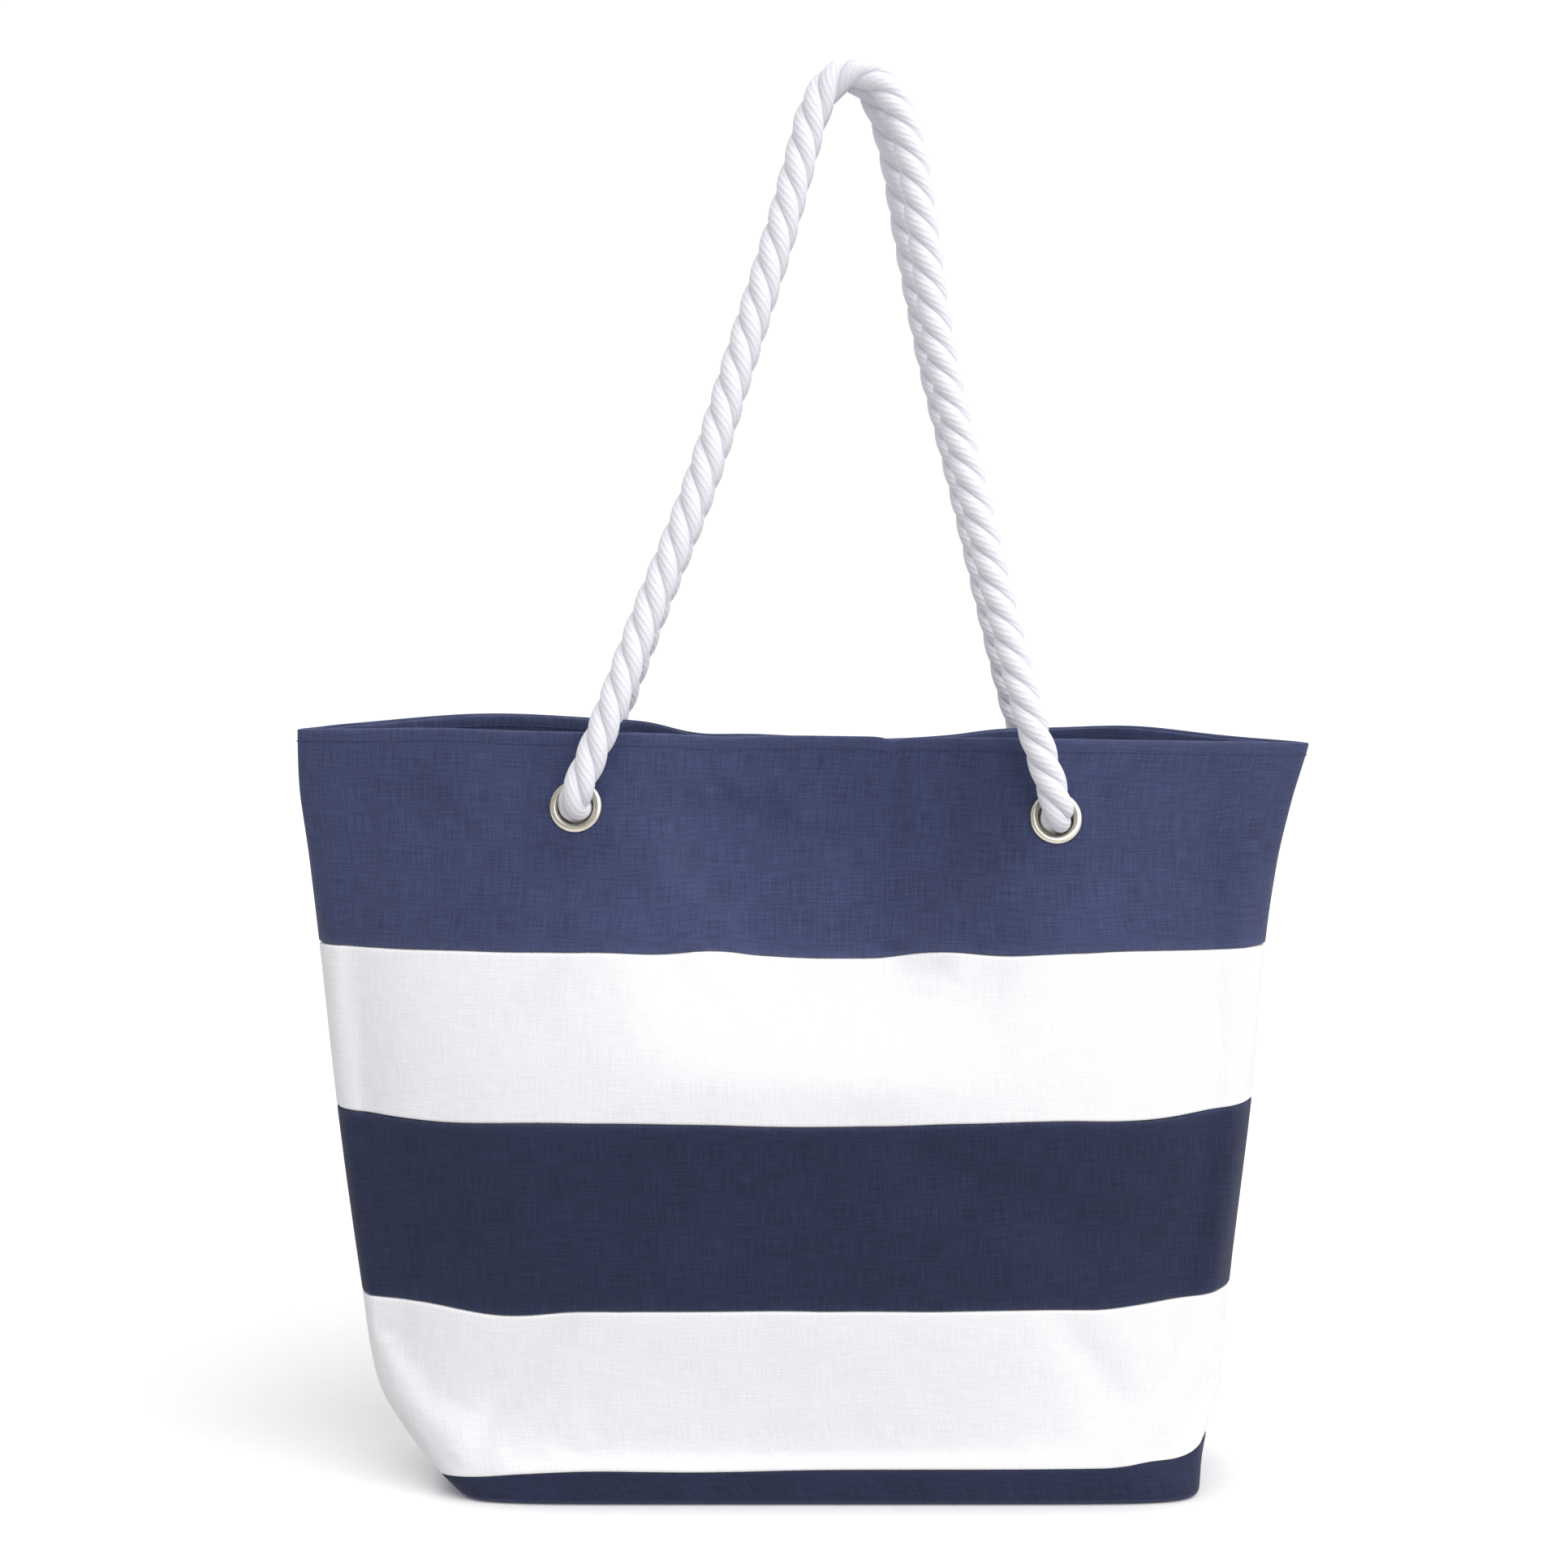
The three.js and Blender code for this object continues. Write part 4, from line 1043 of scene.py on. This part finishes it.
# Stamped and polished: bright and slightly warm, with fine scuffs
nickelPlate = finishedMetal("polished nickel-plated brass", {
    "marks": ((700.0, 700.0, 700.0), 4.0), "stains": ((120.0, 120.0, 120.0), 2.0),
    "gloss": (0.16, 0.34), "bump": 0.12, "dark": "#bdb6a4", "light": "#dedad0"})
# Brushed: a satin face with fine lines one way
snapSteel = finishedMetal("brushed nickel steel", {
    "marks": ((60.0, 60.0, 2600.0), 3.0), "stains": ((60.0, 60.0, 2600.0), 3.0),
    "gloss": (0.28, 0.5), "bump": 0.2, "dark": "#a9a9a8", "light": "#cfcfce"})


# A closed profile of (radius, height) turned round an axis; a radius of 0 is a pole
def turnedMesh(name, profile, centre, axis, material, sides=56, closed=False):
    ring = circleRound(axis, np.linspace(0, 2 * math.pi, sides, endpoint=False))
    points, firsts = [], []
    for radius, height in profile:
        firsts.append(len(points))
        points += [centre + height * axis] if radius == 0 else list(centre + height * axis + radius * ring)
    faces = []
    count = len(profile)
    for i, j in [(i, (i + 1) % count) for i in range(count if closed else count - 1)]:
        a, b = firsts[i], firsts[j]
        for k in range(sides):
            after = (k + 1) % sides
            if profile[i][0] == 0:
                faces.append((a, b + after, b + k))
            elif profile[j][0] == 0:
                faces.append((a + k, a + after, b))
            else:
                faces.append((a + k, a + after, b + after, b + k))
    return addObject(name, points, faces, material, smoothAngle=35)


def arc(centre, radii, start, end, steps):
    angles = np.radians(np.linspace(start, end, steps))
    return [(centre[0] + radii[0] * math.cos(a), centre[1] + radii[1] * math.sin(a)) for a in angles]


washerHeight = -(innerFace + eyeletSetup["washerStandOff"])


# Flange with a rounded crown, barrel through the cloth and a rolled lip behind the washer
def eyeletProfile():
    hole, flange, chamfer = eyeletSetup["holeRadius"], eyeletSetup["flangeRadius"], eyeletSetup["chamfer"]
    foot = eyeletSetup["flangeOver"]
    waist = foot + 1.5 * chamfer
    top = foot + eyeletSetup["flangeThickness"]
    barrel = hole + eyeletSetup["barrel"]
    lipTop = washerHeight - eyeletSetup["washerThickness"] - bag["gap"]
    lip, lipHalf = (eyeletSetup["lipRadius"] - hole) / 2, eyeletSetup["lipThickness"] / 2
    profile = [(barrel, foot), (flange - chamfer, foot)]
    profile += arc(((hole + flange) / 2, waist), ((flange - hole) / 2, top - waist), 0, 180, 15)
    profile += [(hole, lipTop + chamfer)]
    profile += arc((hole + lip, lipTop - lipHalf), (lip, lipHalf), 180, 360, 9)
    return profile + [(eyeletSetup["lipRadius"] - chamfer, lipTop), (barrel, lipTop)]


def washerProfile():
    inner, outer = eyeletSetup["holeRadius"] + eyeletSetup["barrel"] + bag["gap"], eyeletSetup["flangeRadius"]
    small = eyeletSetup["chamfer"]
    low = washerHeight - eyeletSetup["washerThickness"]
    return [(outer - small, washerHeight), (outer, washerHeight - small), (outer, low + 2 * small),
            (outer - 2 * small, low), (inner + small, low), (inner, low + small), (inner, washerHeight)]


for (side, end), (centre, axis) in eyelets.items():
    for name, profile in (("eyelet", eyeletProfile()), ("washer", washerProfile())):
        made = turnedMesh(sideNames[side] + end.capitalize() + name.capitalize(), profile, centre, axis,
                          nickelPlate, closed=True)
        bagPieces.append((made, name + "_" + sideNames[side] + "_" + end, "nickel", None))

snapSetup = {"radius": 0.009, "socket": 0.003, "recess": 0.0036, "recessDepth": 0.0022, "chamfer": 0.0003,
             "plate": 0.0012, "stud": 0.0033, "studLength": 0.0017, "studChamfer": 0.0004,
             "cupRound": 0.0009, "plateRound": 0.0005, "groove": (0.0022, 0.0019, 0.0011, 0.0008)}


# The socket has a recess with a groove round it, and the stud stands on a thin plate
def snapProfiles():
    radius, socket, hole = snapSetup["radius"], snapSetup["socket"], snapSetup["recess"]
    plate, stud, small = snapSetup["plate"], snapSetup["stud"], snapSetup["chamfer"]
    deep, tip = socket - snapSetup["recessDepth"], plate + snapSetup["studLength"]
    cut = snapSetup["studChamfer"]
    foot = [(0, 0), (radius - small, 0), (radius, small)]
    cupRound, plateRound = snapSetup["cupRound"], snapSetup["plateRound"]
    cup = foot + [(radius, socket - cupRound)]
    cup += arc((radius - cupRound, socket - cupRound), (cupRound, cupRound), 15, 90, 5)
    cup += [(hole + out, socket - down) for out, down in zip(snapSetup["groove"], (0, small, small, 0))]
    cup += [(hole + small, socket), (hole, socket - small), (hole, deep), (0, deep)]
    plug = foot + [(radius, plate - plateRound)]
    plug += arc((radius - plateRound, plate - plateRound), (plateRound, plateRound), 20, 90, 4)
    plug += [(stud, plate), (stud, tip - cut), (stud - cut, tip), (0, tip)]
    return cup, plug


cup, plug = snapProfiles()
for name, node, profile, side in (("snapCup", "snap_socket", cup, -1), ("snapPlug", "snap_stud", plug, 1)):
    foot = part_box(node)[0].y if side < 0 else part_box(node)[1].y
    made = turnedMesh(name, profile, np.array([bag["pinch"]["x"], foot, snapHeight]),
                      np.array([0.0, -side, 0.0]), snapSteel)
    bagPieces.append((made, node, "snap_metal", None))
print("eyelets, washers and snap made")

# Sewing thread

# Polyester thread: smooth and faintly glossy, with a fine twist
def sewingThread(name, dark, light):
    material, tree, shader = newMaterial(name)
    twist = addNode(tree, "ShaderNodeTexWave", {
        "Vector": addNode(tree, "ShaderNodeTexCoord").outputs["Object"], "Scale": 420.0, "Distortion": 1.5},
        bands_direction="DIAGONAL").outputs["Fac"]
    tone = addNode(tree, "ShaderNodeMix", {
        0: twist, 6: linearColour(dark), 7: linearColour(light)}, data_type="RGBA")
    bump = addNode(tree, "ShaderNodeBump", {"Height": twist, "Strength": 0.3, "Distance": 0.0001})
    setInputs(shader, {"Base Color": tone.outputs[2], "Normal": bump, "Roughness": 0.55})
    return material


navyThread = sewingThread("navy polyester thread", "#262b48", "#3c4468")
creamThread = sewingThread("cream polyester thread", "#d8d2c2", "#f2eee4")


# Stitches along a path: each is a short arched thread, laid along the path with its arch towards "up"
def stitchTree():
    tree = bpy.data.node_groups.new("stitches", "GeometryNodeTree")
    tree.interface.new_socket(name="Geometry", in_out="INPUT", socket_type="NodeSocketGeometry")
    for name, value in (("Stitch Length", 0.0028), ("Stitch Spacing", 0.0036), ("Thread Radius", 0.00028),
                        ("Arch", 0.0004)):
        socket = tree.interface.new_socket(name=name, in_out="INPUT", socket_type="NodeSocketFloat")
        socket.default_value = value
    tree.interface.new_socket(name="Thread", in_out="INPUT", socket_type="NodeSocketMaterial")
    tree.interface.new_socket(name="Geometry", in_out="OUTPUT", socket_type="NodeSocketGeometry")
    given = addNode(tree, "NodeGroupInput").outputs
    line = addNode(tree, "GeometryNodeMeshToCurve", {0: given["Geometry"]})
    spots = addNode(tree, "GeometryNodeResampleCurve", {
        "Curve": line, "Length": given["Stitch Spacing"]}, mode="LENGTH")
    back, front = [addNode(tree, "ShaderNodeMath", {
        0: given["Stitch Length"], 1: share}, operation="MULTIPLY") for share in (-0.5, 0.5)]
    start = addNode(tree, "ShaderNodeCombineXYZ", {0: back})
    top = addNode(tree, "ShaderNodeCombineXYZ", {2: given["Arch"]})
    end = addNode(tree, "ShaderNodeCombineXYZ", {0: front})
    thread = addNode(tree, "GeometryNodeCurveQuadraticBezier", {
        "Resolution": 5, "Start": start, "Middle": top, "End": end})
    section = addNode(tree, "GeometryNodeCurvePrimitiveCircle", {
        "Resolution": 6, "Radius": given["Thread Radius"]})
    stitch = addNode(tree, "GeometryNodeCurveToMesh", {
        "Curve": thread, "Profile Curve": section, "Fill Caps": True})
    tangent = addNode(tree, "GeometryNodeInputTangent")
    along = addNode(tree, "FunctionNodeAlignRotationToVector", {"Vector": tangent}, axis="X")
    up = addNode(tree, "GeometryNodeInputNamedAttribute", {"Name": "up"}, data_type="FLOAT_VECTOR")
    turned = addNode(tree, "FunctionNodeAlignRotationToVector", {
        "Rotation": along, "Vector": up}, axis="Z", pivot_axis="X")
    placed = addNode(tree, "GeometryNodeInstanceOnPoints", {
        "Points": spots, "Instance": stitch, "Rotation": turned})
    real = addNode(tree, "GeometryNodeRealizeInstances", {0: placed})
    shaded = addNode(tree, "GeometryNodeSetShadeSmooth", {0: real})
    coloured = addNode(tree, "GeometryNodeSetMaterial", {0: shaded, "Material": given["Thread"]})
    addNode(tree, "NodeGroupOutput", {0: coloured})
    return tree


stitches = stitchTree()


# One plain mesh of stitches along several lines, each a pair of arrays: points and the way up
def stitchMesh(name, lines, thread, sizes):
    points, edges, ups = [], [], []
    for line, up in lines:
        edges += [(len(points) + i, len(points) + i + 1) for i in range(len(line) - 1)]
        points += list(line)
        ups += list(up)
    mesh = bpy.data.meshes.new(name + "Path")
    mesh.from_pydata([tuple(p) for p in points], edges, [])
    upward = mesh.attributes.new("up", "FLOAT_VECTOR", "POINT")
    upward.data.foreach_set("vector", np.array(ups, np.float32).ravel())
    holder = placeObject(name, mesh)
    modifier = holder.modifiers.new("stitches", "NODES")
    modifier.node_group = stitches
    wanted = {**sizes, "Thread": thread}
    for item in stitches.interface.items_tree:
        if item.name in wanted and item.in_out == "INPUT":
            modifier[item.identifier] = wanted[item.name]
    evaluated = holder.evaluated_get(bpy.context.evaluated_depsgraph_get())
    holder.data = bpy.data.meshes.new_from_object(evaluated)
    holder.modifiers.clear()
    holder.data.name = name
    return holder


# A line on the face of a layer at some heights and places, with its outward directions
def faceLine(side, places, heights, inset, inwards=False, step=0.003, rise=0.002):
    line = layerPoint(side, places, heights, inset)
    ahead = layerPoint(side, np.clip(places + step, -1, 1), heights, inset)
    before = layerPoint(side, np.clip(places - step, -1, 1), heights, inset)
    above = layerPoint(side, places, heights + rise, inset)
    up = unit(np.cross(ahead - before, above - line))
    return line, up * np.sign(up[:, 1:2] * side + 1e-9) * (-1 if inwards else 1)


# over is how far a thread lies off the cloth; panelHalf, half a panel's width, turns metres to places
stitchSetup = {
    "rimDrop": 0.0065, "hemRise": 0.0035, "pocketEdge": 0.0028, "pocketTop": 0.001, "over": 0.00005,
    "reach": 0.992, "panelHalf": 0.27, "rimSpots": 500, "pocketSpots": 160, "footSpots": 200,
}
threadSizes = {"Stitch Length": 0.0029, "Stitch Spacing": 0.0037, "Thread Radius": 0.00027, "Arch": 0.0003}
fineSizes = {"Stitch Length": 0.0024, "Stitch Spacing": 0.0031, "Thread Radius": 0.00022, "Arch": 0.00025}

rimLines, hemLines = [], []
places = np.linspace(-stitchSetup["reach"], stitchSetup["reach"], stitchSetup["rimSpots"])
inside = innerFace + stitchSetup["over"]
for side in sideNames:
    heights = rimLevel(side, places) - stitchSetup["rimDrop"]
    rimLines.append(faceLine(side, places, heights, -stitchSetup["over"]))
    rimLines.append(faceLine(side, places, heights, inside, inwards=True))
    heights = facingFoot(side, places) + stitchSetup["hemRise"]
    hemLines.append(faceLine(side, places, heights, inside, inwards=True))

pocketInset = innerFace + bag["gap"] + pocketSetup["thickness"]
reach = pocketSetup["half"] - stitchSetup["pocketEdge"] / stitchSetup["panelHalf"]
foot = pocketSetup["foot"] + stitchSetup["pocketEdge"]
heights = np.linspace(foot, seams["upperWhiteTop"][0] - stitchSetup["pocketTop"], stitchSetup["pocketSpots"])
places = np.linspace(-reach, reach, stitchSetup["footSpots"])
pocketLines = [faceLine(1, np.full(len(heights), place), heights, pocketInset, inwards=True)
               for place in (-reach, reach)]
pocketLines.append(faceLine(1, places, np.full(len(places), foot), pocketInset, inwards=True))
seamThreads = [
    (stitchMesh("rimStitches", rimLines, navyThread, threadSizes), "navy_canvas"),
    (stitchMesh("hemStitches", hemLines, navyThread, threadSizes), "navy_canvas"),
    (stitchMesh("pocketStitches", pocketLines, creamThread, fineSizes), "lining_cloth"),
]
print("stitches made")

# What each piece rides on, and which CAD part each stands in for

for piece, node, slotName, flat in bagPieces:
    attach(piece, "bag")
    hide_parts(node)
for piece, slotName in seamThreads:
    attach(piece, "bag")
for side, piece in ropes.items():
    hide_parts(sideNames[side] + "_handle_rope")
    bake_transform(piece)

print("pieces joined to the frame")
